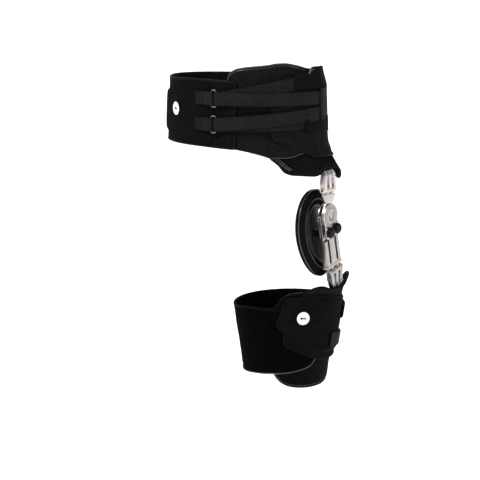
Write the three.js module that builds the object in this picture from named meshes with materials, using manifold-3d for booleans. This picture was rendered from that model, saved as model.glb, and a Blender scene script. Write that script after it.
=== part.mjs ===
// Hip brace for the right hip: a waist belt, a side hinge with a hip pad, and a thigh cuff.
// Millimetres. +X is the braced side, +Y the front, +Z up.
// The origin is the centre of the waist loop at the belt's mid-height.
import * as THREE from 'three';
import { mergeVertices } from 'three/addons/utils/BufferGeometryUtils.js';
import Module from 'manifold-3d';

const wasm = await Module();
wasm.setup();

// Clearances and facets
const GAP = 0.5;
const SECTION_STEP = 6;
const ROUND_SIDES = 24;
const SMALL_SIDES = 12;
const TURN_STEPS = 6;

// Waist form: an ellipse that widens a little downwards
const WAIST = { halfWidth: 148, halfDepth: 103.5, flare: 0.04 };

// Layers on the waist form, as distances from it
const PANEL_LAYER = { inner: -6, outer: 0 };
const BELT_LAYER = { inner: 0.5, outer: 4.4 };
const PATCH_LAYER = { inner: 4.9, outer: 6.3 };
const SHELL_LAYER = { inner: 0.5, outer: 2.5 };
const COVER_LAYER = { inner: 3.6, outer: 5 };
const FRONT_LAYER = { inner: 5.5, outer: 7.6 };

// Belt disc, webbing and rings
const DISC = { radius: 12.6, thickness: 1.6 };
const BELT_DISC = { angle: -122, z: 3 };
const STRAP = { width: 24, thickness: 1.4 };
const RETURN_OFFSET = 7.6;
const RING = { wire: 3, bars: 8, height: 31, angle: -84.5, bend: 1.6, sides: 8 };
const RING_OFFSET = RETURN_OFFSET + (STRAP.thickness + RING.wire) / 2 + GAP;
const RING_PASS = RING_OFFSET + (STRAP.thickness + RING.wire) / 2 + GAP;
const RUN_OFFSET = RETURN_OFFSET + STRAP.thickness + GAP;
const UPPER_RING_Z = 26;
const LOWER_RING_Z = -17;
const STRAP_ANGLES = { seam: -1, nearRing: -77, leaveRing: -79, upperEnd: -28.8, lowerEnd: -20.8 };
const TAB_ANGLES = { sewn: [-99, -96, -92], lift: -89.5 };

// Bulge of the shell and the cover over the upper bracket
const HIP_BULGE = { reach: 28, from: -40, to: -96, power: 1.4, middle: -1, full: 13, fade: 30 };

// Hinge: the dial's outer face, its centre and the bend of the thigh bar at rest
const HINGE_FACE = 179;
const DIAL = { y: -0.8, z: -172.3, radius: 21.5 };
const FLEXION = THREE.MathUtils.degToRad(13.5);
const PLATE = 3;
const EYE = 3.6;
const BAR = { width: 41, tongue: 4, top: 6, shoulder: -40, bottom: -92, foot: 2, stem: 7 };
const SLOT = { width: 5.4, spread: 10.5, top: 2, bottom: -84 };
const LOBE = { bottom: -37, corner: 8, arc: 0.14 * Math.PI };
const ARM = {
  neck: 12.5,
  neckTop: 26,
  flange: 16.5,
  flangeBottom: 31,
  flangeTop: -8,
  eyeArc: 0.18 * Math.PI,
};
const KNOB = { radius: 9.2, height: 8, flutes: 18, flute: 0.7, v: -25.5 };
const STUD_RADIUS = 2.1;
const HUB_RADIUS = 4.1;
const BRACKET = { width: 38, finger: 8, spread: 15, depth: 12, ribs: 27, tongue: 26, taper: 0.3 };
const WEB = { depth: 7.5, from: 9 };
const RIB_END = { face: -4, tip: 8, back: 2, setBack: 7 };
const TONGUE_ROOT = { x: 1, v: 22 };
const KNUCKLE = BRACKET.spread - BRACKET.finger - 2 * GAP;
const PIN_RADIUS = 2.2;
const UPPER_PIN_Z = -126;
const LOWER_PIN_V = -100;
const PIN_X = HINGE_FACE - BRACKET.depth / 2;
const SCREW = { radius: 2.8, head: 1.2, proud: 0.4 };

// Hip pad
const PAD = { halfWidth: 61, halfHeight: 79.5, rim: 23, taper: 0.17, u: -4, v: -34 };
const PAD_TURN = THREE.MathUtils.degToRad(8);
const PAD_SWING = THREE.MathUtils.degToRad(7);
const PAD_FACE = 153;
const PAD_PLATE = { halfWidth: 37.5, halfHeight: 56, taper: 0.17, thickness: 3, crown: 1.2 };
const PAD_STUD_RADIUS = 5;

// Thigh form: a cone with a straight top
const THIGH = { x: 75, y: 20, topRadius: 91.5, straightTo: -342, taper: 0.145 };
const THIGH_PANEL_LAYER = { inner: -5, outer: 0 };
const POCKET_LAYER = { inner: 0.5, outer: 2.5 };
const WRAP_LAYER = { inner: 0.5, outer: 3.5 };
const LOWER_FLAP_LAYER = { inner: 4, outer: 6 };
const UPPER_FLAP_LAYER = { inner: 6.5, outer: 8.5 };
const LOOP_LAYER = { inner: 9.2, outer: 10.8 };
const THIGH_DISC = { angle: -39, z: -346 };
const THIGH_BULGE = { reach: 10.5, from: -342, to: -300, power: 1, middle: 6, full: 12, fade: 30 };
const TIP_FLARE = { from: -304, slope: 0.4 };

// Finishes
function finish(color, roughness, metalness) {
  return new THREE.MeshStandardMaterial({ color, roughness, metalness });
}
const FABRIC = finish(0x141517, 0.95, 0);
const LOOP_FABRIC = finish(0x1a1b1d, 1, 0);
const WEBBING = finish(0x242426, 0.85, 0);
const ALUMINIUM = finish(0xd6d3cd, 0.35, 1);
const RING_WIRE = finish(0x77777a, 0.4, 1);
const BRASS = finish(0xc99a3f, 0.35, 1);
const BLACK_PLASTIC = finish(0x111112, 0.4, 0);
const GLOSSY_PLASTIC = finish(0x1c1d20, 0.2, 0);
const WHITE_PLASTIC = finish(0xf2f2f0, 0.5, 0);

const brace = new THREE.Group();

function addPiece(parent, name, geometry, material) {
  const mesh = new THREE.Mesh(geometry, material);
  mesh.name = name;
  parent.add(mesh);
  return mesh;
}

// Tables: a row for each section, with named columns
function table(columns, rows) {
  return rows.map((row) => Object.fromEntries(columns.map((name, i) => [name, row[i]])));
}

// Picks two columns of a table as a wall's top and bottom edges
function edgesFrom(rows, top, bottom) {
  return rows.map((row) => ({ angle: row.angle, top: row[top], bottom: row[bottom] }));
}

// Reads a column of a table at an angle, along a smooth curve that never overshoots its rows
function readTable(rows, column, angle) {
  const last = rows.length - 1;
  if (angle <= rows[0].angle) return rows[0][column];
  if (angle >= rows[last].angle) return rows[last][column];
  const slope = (i) => (rows[i + 1][column] - rows[i][column]) / (rows[i + 1].angle - rows[i].angle);
  const tangent = (i) => {
    if (i === 0) return slope(0);
    if (i === last) return slope(last - 1);
    const before = slope(i - 1);
    const after = slope(i);
    return before * after <= 0 ? 0 : (2 * before * after) / (before + after);
  };
  const i = rows.findIndex((row) => row.angle > angle) - 1;
  const span = rows[i + 1].angle - rows[i].angle;
  const t = (angle - rows[i].angle) / span;
  const ease = t * t * (3 - 2 * t);
  const lead = t * (1 - t) * (1 - t) * span * tangent(i);
  const trail = t * t * (t - 1) * span * tangent(i + 1);
  return rows[i][column] + (rows[i + 1][column] - rows[i][column]) * ease + lead + trail;
}

function waistPoint(angle, z, offset) {
  const turn = THREE.MathUtils.degToRad(angle);
  const spread = offset - WAIST.flare * z;
  return new THREE.Vector3(
    (WAIST.halfWidth + spread) * Math.cos(turn),
    (WAIST.halfDepth + spread) * Math.sin(turn),
    z,
  );
}

function thighPoint(angle, z, offset) {
  const turn = THREE.MathUtils.degToRad(angle);
  const radius = THIGH.topRadius + THIGH.taper * Math.min(0, z - THIGH.straightTo) + offset;
  return new THREE.Vector3(THIGH.x + radius * Math.cos(turn), THIGH.y + radius * Math.sin(turn), z);
}

// Skin over a row of rings with equal point counts, closed on itself or capped at both ends.
// A capped ring lists its outer side first and then comes back along its inner side.
function loft(rings, closed = false) {
  const count = rings[0].length;
  const index = [];
  const quad = (a, b, c, d) => index.push(a, b, c, a, c, d);
  const last = rings.length - 1;
  for (let k = 0; k < (closed ? rings.length : last); k += 1) {
    const here = k * count;
    const next = ((k + 1) % rings.length) * count;
    for (let i = 0; i < count; i += 1) {
      const j = (i + 1) % count;
      quad(here + i, here + j, next + j, next + i);
    }
  }
  if (!closed) {
    const end = last * count;
    for (let i = 0; i < count / 2 - 1; i += 1) {
      quad(count - 1 - i, count - 2 - i, i + 1, i);
      quad(end + i, end + i + 1, end + count - 2 - i, end + count - 1 - i);
    }
  }
  const points = rings.flat();
  const corner = (i) => points[index[i]];
  let volume = 0;
  for (let i = 0; i < index.length; i += 3) {
    volume += corner(i).dot(new THREE.Vector3().crossVectors(corner(i + 1), corner(i + 2)));
  }
  const geometry = new THREE.BufferGeometry().setFromPoints(points);
  geometry.setIndex(volume < 0 ? index.reverse() : index);
  return geometry;
}

// Angles of a wall's sections: its ends, a common grid, and the corners of its edges
function sectionAngles(from, to, corners) {
  const angles = [from, to, ...corners.filter((angle) => angle > from && angle < to)];
  for (let angle = Math.ceil(from / SECTION_STEP) * SECTION_STEP; angle < to; angle += SECTION_STEP) {
    angles.push(angle);
  }
  const sorted = [...new Set(angles)].sort((a, b) => a - b);
  const tooClose = (angle, i) => i > 0 && angle - sorted[i - 1] < 0.15;
  return sorted.filter((angle, i) => !tooClose(angle, i));
}

// Heights of a section's points, with one of them moved to the level where the form bends
function sectionHeights(bottom, top, rows, level) {
  const heights = Array.from({ length: rows + 1 }, (_, i) => bottom + ((top - bottom) * i) / rows);
  const nearest = THREE.MathUtils.clamp(Math.round((rows * (level - bottom)) / (top - bottom)), 1, rows - 1);
  if (level > heights[nearest - 1] && level < heights[nearest + 1]) heights[nearest] = level;
  return heights;
}

// Cloth wall that follows a form between two edges
function wall(form, edges, layer, rows, level, swell = () => 0) {
  const from = edges[0].angle;
  const to = edges[edges.length - 1].angle;
  const angles = sectionAngles(from, to, edges.map((row) => row.angle));
  const side = (angle, offset) => {
    const top = readTable(edges, 'top', angle);
    const bottom = readTable(edges, 'bottom', angle);
    const heights = sectionHeights(bottom, top, rows, level);
    return heights.map((z) => form(angle, z, offset + swell(angle, z)));
  };
  return loft(angles.map((angle) => [...side(angle, layer.outer), ...side(angle, layer.inner).reverse()]));
}

// Upright webbing along a route on the waist form, with the columns angle, offset and z
function webbing(route, width, thickness) {
  const centres = route.map((row) => waistPoint(row.angle, row.z, row.offset));
  const rings = centres.map((centre, i) => {
    const before = centres[Math.max(0, i - 1)];
    const after = centres[Math.min(centres.length - 1, i + 1)];
    const along = after.clone().sub(before).setZ(0).normalize();
    const face = new THREE.Vector3(along.y, -along.x, 0).multiplyScalar(thickness / 2);
    const rise = new THREE.Vector3(0, 0, width / 2);
    return [
      centre.clone().add(face).sub(rise),
      centre.clone().add(face).add(rise),
      centre.clone().sub(face).add(rise),
      centre.clone().sub(face).sub(rise),
    ];
  });
  return loft(rings);
}

// Half-turn of webbing round an upright bar of a ring, from outside it to inside it
function turnRound(barAngle, away, z) {
  const reach = RING_PASS - RING_OFFSET;
  const perDegree = THREE.MathUtils.degToRad(WAIST.halfWidth);
  return Array.from({ length: TURN_STEPS + 1 }, (_, i) => {
    const turn = (Math.PI * i) / TURN_STEPS;
    return {
      angle: barAngle + (away * reach * Math.sin(turn)) / perDegree,
      offset: RING_OFFSET + reach * Math.cos(turn),
      z,
    };
  });
}

function bulge(shape, angle, z) {
  const rise = THREE.MathUtils.clamp((z - shape.from) / (shape.to - shape.from), 0, 1);
  const away = Math.abs(angle - shape.middle);
  const side = 1 - THREE.MathUtils.smoothstep(away, shape.full, shape.fade);
  return shape.reach * rise ** shape.power * side;
}

const hipBulge = (angle, z) => bulge(HIP_BULGE, angle, z);
const thighBulge = (angle, z) => bulge(THIGH_BULGE, angle, z);

// Solids for joins and cuts
function toSolid(geometry) {
  const bare = geometry.clone();
  bare.deleteAttribute('normal');
  bare.deleteAttribute('uv');
  const merged = mergeVertices(bare, 1e-4);
  return new wasm.Manifold(new wasm.Mesh({
    numProp: 3,
    vertProperties: new Float32Array(merged.attributes.position.array),
    triVerts: new Uint32Array(merged.index.array),
  }));
}

function toGeometry(solid) {
  const mesh = solid.getMesh();
  const geometry = new THREE.BufferGeometry();
  geometry.setAttribute('position', new THREE.BufferAttribute(mesh.vertProperties, 3));
  geometry.setIndex(new THREE.BufferAttribute(mesh.triVerts, 1));
  geometry.computeVertexNormals();
  return geometry;
}

const join = (...geometries) => geometries.map(toSolid).reduce((sum, solid) => sum.add(solid));
function cut(solid, ...geometries) {
  return geometries.map(toSolid).reduce((rest, tool) => rest.subtract(tool), solid);
}

// Plate outlined in the hinge's plane (u to the front, v up), between two depths along X
function plate(shape, from, to) {
  const geometry = new THREE.ExtrudeGeometry(shape, {
    depth: to - from,
    bevelEnabled: false,
    curveSegments: SMALL_SIDES,
  });
  const axes = new THREE.Matrix4().makeBasis(
    new THREE.Vector3(0, 1, 0),
    new THREE.Vector3(0, 0, 1),
    new THREE.Vector3(1, 0, 0),
  );
  return geometry.translate(0, 0, from).applyMatrix4(axes);
}

// Bar outlined across the hinge (x outwards, v up), between two places along Y
function crossBar(shape, from, to) {
  const geometry = new THREE.ExtrudeGeometry(shape, {
    depth: to - from,
    bevelEnabled: false,
    curveSegments: SMALL_SIDES / 2,
  });
  return geometry.translate(0, 0, -to).rotateX(Math.PI / 2);
}

function rod(radius, from, to, axis, sides = SMALL_SIDES) {
  const geometry = new THREE.CylinderGeometry(radius, radius, to - from, sides);
  geometry.translate(0, (from + to) / 2, 0);
  return axis === 'x' ? geometry.rotateZ(-Math.PI / 2) : geometry;
}

function polygon(points) {
  return new THREE.Shape(points.map(([x, y]) => new THREE.Vector2(x, y)));
}

function slotShape(u) {
  const half = SLOT.width / 2;
  const shape = new THREE.Shape();
  shape.absarc(u, SLOT.top - half, half, 0, Math.PI);
  shape.absarc(u, SLOT.bottom + half, half, Math.PI, 2 * Math.PI);
  shape.closePath();
  return shape;
}

// Waist: belt, patch and disc
function makeBelt() {
  const beltEdges = table(['angle', 'top', 'bottom'], [
    [-290, 55, -55],
    [-180, 57, -57],
    [-140, 56, -57],
    [-100, 57.5, -57],
    [-70, 55.5, -59],
  ]);
  addPiece(brace, 'waist_belt', wall(waistPoint, beltEdges, BELT_LAYER, 2, 0), FABRIC);

  const patchEdges = table(['angle', 'top', 'bottom'], [
    [-146, 24, -26],
    [-142, 31, -33],
    [-135, 37, -40],
    [-124, 45, -46],
    [-112, 50, -50],
    [-100, 52, -52],
    [-92, 51, -52],
    [-88, 47, -50],
    [-85.5, 38, -44],
  ]);
  addPiece(brace, 'belt_patch', wall(waistPoint, patchEdges, PATCH_LAYER, 2, 0), LOOP_FABRIC);

  addDisc('belt_disc', waistPoint, BELT_DISC, PATCH_LAYER.outer + GAP);
}

// Flat disc that lies against a form, its face along the form's outward direction
function addDisc(name, form, place, offset) {
  const foot = form(place.angle, place.z, offset);
  const ahead = form(place.angle + 1, place.z, offset);
  const along = ahead.sub(foot).normalize();
  const outward = new THREE.Vector3(along.y, -along.x, 0);
  const geometry = new THREE.CylinderGeometry(DISC.radius, DISC.radius, DISC.thickness, ROUND_SIDES);
  geometry.translate(0, DISC.thickness / 2, 0);
  const disc = addPiece(brace, name, geometry, WHITE_PLASTIC);
  disc.position.copy(foot);
  disc.quaternion.setFromUnitVectors(new THREE.Vector3(0, 1, 0), outward);
}

// Waist: wire rings with the straps and pull tabs that pass through them
function makeRing(name, z) {
  const half = RING.bars / 2;
  const rise = RING.height / 2 - RING.wire / 2;
  const foot = waistPoint(RING.angle, z, RING_OFFSET);
  const along = waistPoint(RING.angle + 1, z, RING_OFFSET).sub(foot).normalize();
  const outward = new THREE.Vector3(along.y, -along.x, 0);
  const corners = [[1, 1], [-1, 1], [-1, -1], [1, -1]];
  const bend = RING.bend;
  const path = corners.flatMap(([side, up], i) => [0, 1, 2].map((step) => {
    const turn = (Math.PI / 2) * (i + step / 2);
    return [side * (half - bend) + bend * Math.cos(turn), up * (rise - bend) + bend * Math.sin(turn), turn];
  }));
  const rings = path.map(([u, v, turn]) => {
    const centre = foot.clone().addScaledVector(along, u);
    centre.z += v;
    const spoke = along.clone().multiplyScalar(Math.cos(turn));
    spoke.z += Math.sin(turn);
    return Array.from({ length: RING.sides }, (_, i) => {
      const swing = (2 * Math.PI * (i + 0.5)) / RING.sides;
      return centre.clone()
        .addScaledVector(spoke, (RING.wire / 2) * Math.cos(swing))
        .addScaledVector(outward, (RING.wire / 2) * Math.sin(swing));
    });
  });
  addPiece(brace, name, loft(rings, true), RING_WIRE);
}

function makeStrap(name, z, frontRun, returnRun) {
  const barAngle = RING.angle + RING.bars / 2 / THREE.MathUtils.degToRad(WAIST.halfWidth);
  const route = [...frontRun, ...turnRound(barAngle, -1, z), ...returnRun];
  addPiece(brace, name, webbing(route, STRAP.width, STRAP.thickness), WEBBING);
}

function makePullTab(name, z) {
  const barAngle = RING.angle - RING.bars / 2 / THREE.MathUtils.degToRad(WAIST.halfWidth);
  const sewn = (offset) => TAB_ANGLES.sewn.map((angle) => ({ angle, offset, z }));
  const route = [
    ...sewn(RUN_OFFSET),
    { angle: TAB_ANGLES.lift, offset: RING_PASS - GAP, z },
    ...turnRound(barAngle, 1, z),
    { angle: TAB_ANGLES.lift, offset: RETURN_OFFSET, z },
    ...sewn(RETURN_OFFSET).reverse(),
  ];
  addPiece(brace, name, webbing(route, STRAP.width - 1, STRAP.thickness), WEBBING);
}

// Straight run of a strap between two angles, rising evenly
function strapRun(from, to, offset, step = SECTION_STEP) {
  const count = Math.ceil(Math.abs(to.angle - from.angle) / step);
  return Array.from({ length: count + 1 }, (_, i) => ({
    angle: from.angle + ((to.angle - from.angle) * i) / count,
    offset,
    z: from.z + ((to.z - from.z) * i) / count,
  }));
}

function makeWebbing() {
  const { seam, nearRing, leaveRing, upperEnd, lowerEnd } = STRAP_ANGLES;
  makeRing('ring_upper', UPPER_RING_Z);
  makeRing('ring_lower', LOWER_RING_Z);
  makePullTab('pull_tab_upper', UPPER_RING_Z);
  makePullTab('pull_tab_lower', LOWER_RING_Z);
  makeStrap(
    'strap_upper',
    UPPER_RING_Z,
    strapRun({ angle: seam, z: 28 }, { angle: nearRing, z: UPPER_RING_Z }, RUN_OFFSET),
    strapRun({ angle: leaveRing, z: UPPER_RING_Z + 1 }, { angle: upperEnd, z: 52 }, RETURN_OFFSET),
  );
  makeStrap(
    'strap_lower',
    LOWER_RING_Z,
    strapRun({ angle: seam, z: 3.4 }, { angle: nearRing, z: LOWER_RING_Z + 1 }, RUN_OFFSET),
    strapRun({ angle: leaveRing, z: LOWER_RING_Z }, { angle: lowerEnd, z: -12 }, RETURN_OFFSET),
  );
}

// Waist: the panels on the hip and the front
function makeHipPanels() {
  const panelEdges = table(['angle', 'top', 'bottom'], [
    [-77, 56, -57],
    [-75, 69, -58],
    [-68, 77.5, -60],
    [-47, 83, -71],
    [-40, 85.5, -83],
    [-34, 86, -97],
    [-24, 83, -100.5],
    [-12, 77, -100.5],
    [6, 74, -96],
    [24, 72, -96],
    [50, 68, -60],
  ]);
  addPiece(brace, 'hip_panel', wall(waistPoint, panelEdges, PANEL_LAYER, 4, 0), LOOP_FABRIC);

  const hipEdges = table(['angle', 'coverTop', 'coverBottom', 'shellTop', 'shellBottom'], [
    [-46, 48, -71, -50, -73],
    [-40, 52, -71, -50, -83],
    [-34, 54, -70.5, -50, -97],
    [-28, 54, -68.5, -50, -100.5],
    [-22, 54, -64, -50, -100.5],
    [-18, 54, -66, -50, -100.5],
    [-13, 54, -70, -50, -97],
    [-9, 54, -71, -50, -91],
    [7, 54, -72, -50, -91],
    [12, 54, -71, -50, -97],
    [16, 54, -70, -50, -110],
    [20, 54, -69, -50, -113],
    [25, 54, -68, -50, -101],
    [45, 54, -58, -50, -66],
  ]);
  const shellEdges = edgesFrom(hipEdges, 'shellTop', 'shellBottom');
  const coverEdges = edgesFrom(hipEdges, 'coverTop', 'coverBottom');
  const hipShell = wall(waistPoint, shellEdges, SHELL_LAYER, 4, HIP_BULGE.to, hipBulge);
  addPiece(brace, 'hip_shell', hipShell, FABRIC);
  const sideCover = wall(waistPoint, coverEdges, COVER_LAYER, 5, HIP_BULGE.from, hipBulge);
  addPiece(brace, 'side_cover', sideCover, FABRIC);

  const frontEdges = table(['angle', 'top', 'bottom'], [
    [-28, 62, 44],
    [-26.5, 68, 42],
    [-24, 69.5, 41.7],
    [-15, 69.5, 41.7],
    [-12, 78, 41.7],
    [-8, 80, 41.7],
    [-3.2, 80, 41.7],
    [-2.8, 80, -31],
    [30, 78, -33],
    [70, 66, -44],
    [106, 58, -50],
    [112, 50, -42],
  ]);
  addPiece(brace, 'front_panel', wall(waistPoint, frontEdges, FRONT_LAYER, 2, 0), FABRIC);

  const lowerTabEdges = table(['angle', 'top', 'bottom'], [
    [-20, -7, -21],
    [-18.5, -6, -27],
    [-16, -6, -29],
    [-8, -6, -29],
    [-3.5, -6, -31],
  ]);
  addPiece(brace, 'front_tab_lower', wall(waistPoint, lowerTabEdges, FRONT_LAYER, 2, 0), FABRIC);
}

// Ribbed bracket with its pin at the origin. Its ribs run upwards, closing in, to a flat tongue.
function bracketSolid(tongue) {
  const half = BRACKET.depth / 2;
  const finger = new THREE.Shape();
  finger.absarc(0, 0, half, Math.PI, 2 * Math.PI);
  finger.lineTo(half, BRACKET.ribs + RIB_END.face);
  finger.lineTo(half - RIB_END.setBack, BRACKET.ribs + RIB_END.tip);
  finger.lineTo(-half, BRACKET.ribs + RIB_END.back);
  finger.closePath();
  const web = polygon([
    [-half, WEB.from],
    [WEB.depth - half, WEB.from],
    [WEB.depth - half, BRACKET.ribs],
    [-half, BRACKET.ribs],
  ]);
  const edge = BRACKET.width / 2;
  const fingers = [-1, 0, 1].map((i) => crossBar(
    finger,
    i * BRACKET.spread - BRACKET.finger / 2,
    i * BRACKET.spread + BRACKET.finger / 2,
  ));
  const reach = BRACKET.tongue / 2;
  const solid = join(crossBar(web, -edge, edge), crossBar(polygon(tongue), -reach, reach), ...fingers);
  const pinHole = rod(PIN_RADIUS + GAP, -edge - 1, edge + 1, 'y');
  const screwHole = rod(SCREW.radius + GAP, half - SCREW.head - GAP, half + 1, 'x');
  const geometry = toGeometry(cut(solid, pinHole, screwHole));
  const position = geometry.attributes.position;
  for (let i = 0; i < position.count; i += 1) {
    const along = Math.max(0, position.getZ(i) - WEB.from) / BRACKET.ribs;
    position.setY(i, position.getY(i) * (1 - BRACKET.taper * Math.min(1, along)));
  }
  return geometry;
}

function addBracket(parent, name, tongue) {
  const outer = BRACKET.depth / 2;
  addPiece(parent, `${name}_bracket`, bracketSolid(tongue), ALUMINIUM);
  addPiece(parent, `${name}_screw`, rod(SCREW.radius, outer - SCREW.head, outer + SCREW.proud, 'x'), BRASS);
  const edge = BRACKET.width / 2;
  addPiece(parent, `${name}_pin`, rod(PIN_RADIUS, 1 - edge, edge - 1, 'y'), ALUMINIUM);
}

// Knuckles that fill the spaces between a bracket's fingers, round its pin
function knuckles(v) {
  return [-1, 1].map((side) => {
    const middle = (side * BRACKET.spread) / 2;
    const sleeve = rod(BRACKET.depth / 2, middle - KNUCKLE / 2, middle + KNUCKLE / 2, 'y', 16);
    return sleeve.translate(PIN_X, 0, v);
  });
}

// Stems that carry the knuckles, between two heights and two depths
function stems(bottom, top, back, face) {
  return [-1, 1].map((side) => {
    const middle = (side * BRACKET.spread) / 2;
    const left = middle - KNUCKLE / 2;
    const right = middle + KNUCKLE / 2;
    return plate(polygon([[left, bottom], [right, bottom], [right, top], [left, top]]), back, face);
  });
}

const pinBore = (v) => rod(PIN_RADIUS + GAP, -BRACKET.width, BRACKET.width, 'y').translate(PIN_X, 0, v);

// Depths of the hinge's layers, from the dial's face inwards
const FRONT_BACK = HINGE_FACE - PLATE;
const EYE_FACE = FRONT_BACK - GAP;
const EYE_BACK = EYE_FACE - EYE;
const TONGUE_FACE = EYE_BACK - GAP;
const TONGUE_BACK = TONGUE_FACE - BAR.tongue;
const BACK_FACE = TONGUE_BACK - GAP;
const BACK_BACK = BACK_FACE - PLATE;

function makeUpperHinge() {
  const pin = new THREE.Group();
  pin.position.set(PIN_X, DIAL.y, UPPER_PIN_Z);
  brace.add(pin);
  const half = BRACKET.depth / 2;
  addBracket(pin, 'upper', [
    [-half, TONGUE_ROOT.v],
    [TONGUE_ROOT.x, TONGUE_ROOT.v],
    [-7, 45],
    [-18.6, 66],
    [-21.8, 66],
  ]);

  const rise = UPPER_PIN_Z - DIAL.z;
  const outline = new THREE.Shape();
  const shoulder = rise + ARM.flangeTop;
  outline.absarc(0, 0, DIAL.radius - 1.5, ARM.eyeArc, Math.PI - ARM.eyeArc, true);
  outline.lineTo(-ARM.neck, ARM.neckTop);
  outline.lineTo(-ARM.flange, ARM.flangeBottom);
  outline.lineTo(-ARM.flange, shoulder);
  outline.lineTo(ARM.flange, shoulder);
  outline.lineTo(ARM.flange, ARM.flangeBottom);
  outline.lineTo(ARM.neck, ARM.neckTop);
  outline.closePath();
  const arm = join(
    plate(outline, EYE_BACK, EYE_FACE),
    ...stems(shoulder - 1, rise, EYE_BACK, EYE_FACE),
    ...knuckles(rise),
  );
  const pivotHole = rod(HUB_RADIUS + GAP, EYE_BACK - 1, EYE_FACE + 1, 'x');
  const hinge = new THREE.Group();
  hinge.position.set(0, DIAL.y, DIAL.z);
  brace.add(hinge);
  addPiece(hinge, 'upper_arm', toGeometry(cut(arm, pinBore(rise), pivotHole)), ALUMINIUM);
}

// Dial outline: a disc that runs down into a lobe for the knobs
function dialOutline(radius) {
  const half = BAR.width / 2;
  const { bottom, corner, arc } = LOBE;
  const shape = new THREE.Shape();
  shape.absarc(0, 0, radius, -arc, Math.PI + arc);
  shape.lineTo(-half, bottom + corner);
  shape.absarc(corner - half, bottom + corner, corner, Math.PI, 1.5 * Math.PI);
  shape.absarc(half - corner, bottom + corner, corner, 1.5 * Math.PI, 2 * Math.PI);
  shape.closePath();
  return shape;
}

function roundHole(u, v, radius) {
  const hole = new THREE.Path();
  hole.absarc(u, v, radius, 0, 2 * Math.PI);
  return hole;
}

// Knob with a fluted rim and a stud that clamps the plates on the bar
function knobGeometry() {
  const rim = new THREE.Shape();
  const steps = KNOB.flutes * 2;
  for (let i = 0; i < steps; i += 1) {
    const turn = (2 * Math.PI * i) / steps;
    const radius = i % 2 ? KNOB.radius - KNOB.flute : KNOB.radius;
    rim.lineTo(radius * Math.cos(turn), radius * Math.sin(turn));
  }
  rim.closePath();
  const foot = HINGE_FACE + GAP;
  const head = plate(rim, foot, foot + KNOB.height);
  const stud = rod(STUD_RADIUS, BACK_BACK - 2, foot + 1, 'x');
  return toGeometry(join(head, stud));
}

function makeLowerHinge() {
  const arm = new THREE.Group();
  arm.position.set(0, DIAL.y, DIAL.z);
  arm.rotation.x = FLEXION;
  brace.add(arm);

  const knobPlaces = [-SLOT.spread, SLOT.spread];
  const studHoles = knobPlaces.map((u) => roundHole(u, KNOB.v, STUD_RADIUS + GAP));
  const front = dialOutline(DIAL.radius);
  front.holes = [...studHoles, roundHole(0, 0, STUD_RADIUS + GAP)];
  const back = dialOutline(DIAL.radius - 1);
  back.holes = studHoles;
  addPiece(arm, 'dial_plate', plate(front, FRONT_BACK, HINGE_FACE), ALUMINIUM);
  addPiece(arm, 'back_plate', plate(back, BACK_BACK, BACK_FACE), ALUMINIUM);
  const pivotStem = rod(STUD_RADIUS, EYE_FACE - 1, HINGE_FACE, 'x');
  const pivotHub = rod(HUB_RADIUS, EYE_BACK, EYE_FACE, 'x');
  addPiece(arm, 'pivot', toGeometry(join(pivotStem, pivotHub)), ALUMINIUM);

  ['knob_rear', 'knob_front'].forEach((name, i) => {
    const knob = addPiece(arm, name, knobGeometry(), BLACK_PLASTIC);
    knob.position.set(0, knobPlaces[i], KNOB.v);
  });
  makeBar(arm, knobPlaces);
  makePad(arm);

  const pin = new THREE.Group();
  pin.position.set(PIN_X, 0, LOWER_PIN_V);
  pin.rotation.x = Math.PI;
  arm.add(pin);
  const half = BRACKET.depth / 2;
  addBracket(pin, 'lower', [
    [-half, TONGUE_ROOT.v],
    [TONGUE_ROOT.x, TONGUE_ROOT.v],
    [TONGUE_ROOT.x, 36],
    [-half, 36],
  ]);
}

// Slotted bar: a thin tongue between the plates, a thick body below them and knuckles at its end
function makeBar(arm, places) {
  const half = BAR.width / 2;
  const outline = (top) => polygon([[-half, BAR.bottom], [half, BAR.bottom], [half, top], [-half, top]]);
  const flange = half + BAR.foot;
  const foot = polygon([
    [-flange, BAR.bottom],
    [flange, BAR.bottom],
    [half, BAR.bottom + 4],
    [-half, BAR.bottom + 4],
  ]);
  const body = join(
    plate(outline(BAR.top), TONGUE_BACK, TONGUE_FACE),
    plate(outline(BAR.shoulder), BACK_BACK, EYE_FACE),
    plate(foot, BACK_BACK, EYE_FACE),
    ...knuckles(LOWER_PIN_V),
    ...stems(LOWER_PIN_V, BAR.bottom + 1, PIN_X - BAR.stem / 2, PIN_X + BAR.stem / 2),
  );
  const slots = places.map((u) => plate(slotShape(u), BACK_BACK - 1, EYE_FACE + 1));
  addPiece(arm, 'thigh_bar', toGeometry(cut(body, pinBore(LOWER_PIN_V), ...slots)), ALUMINIUM);
}

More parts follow.
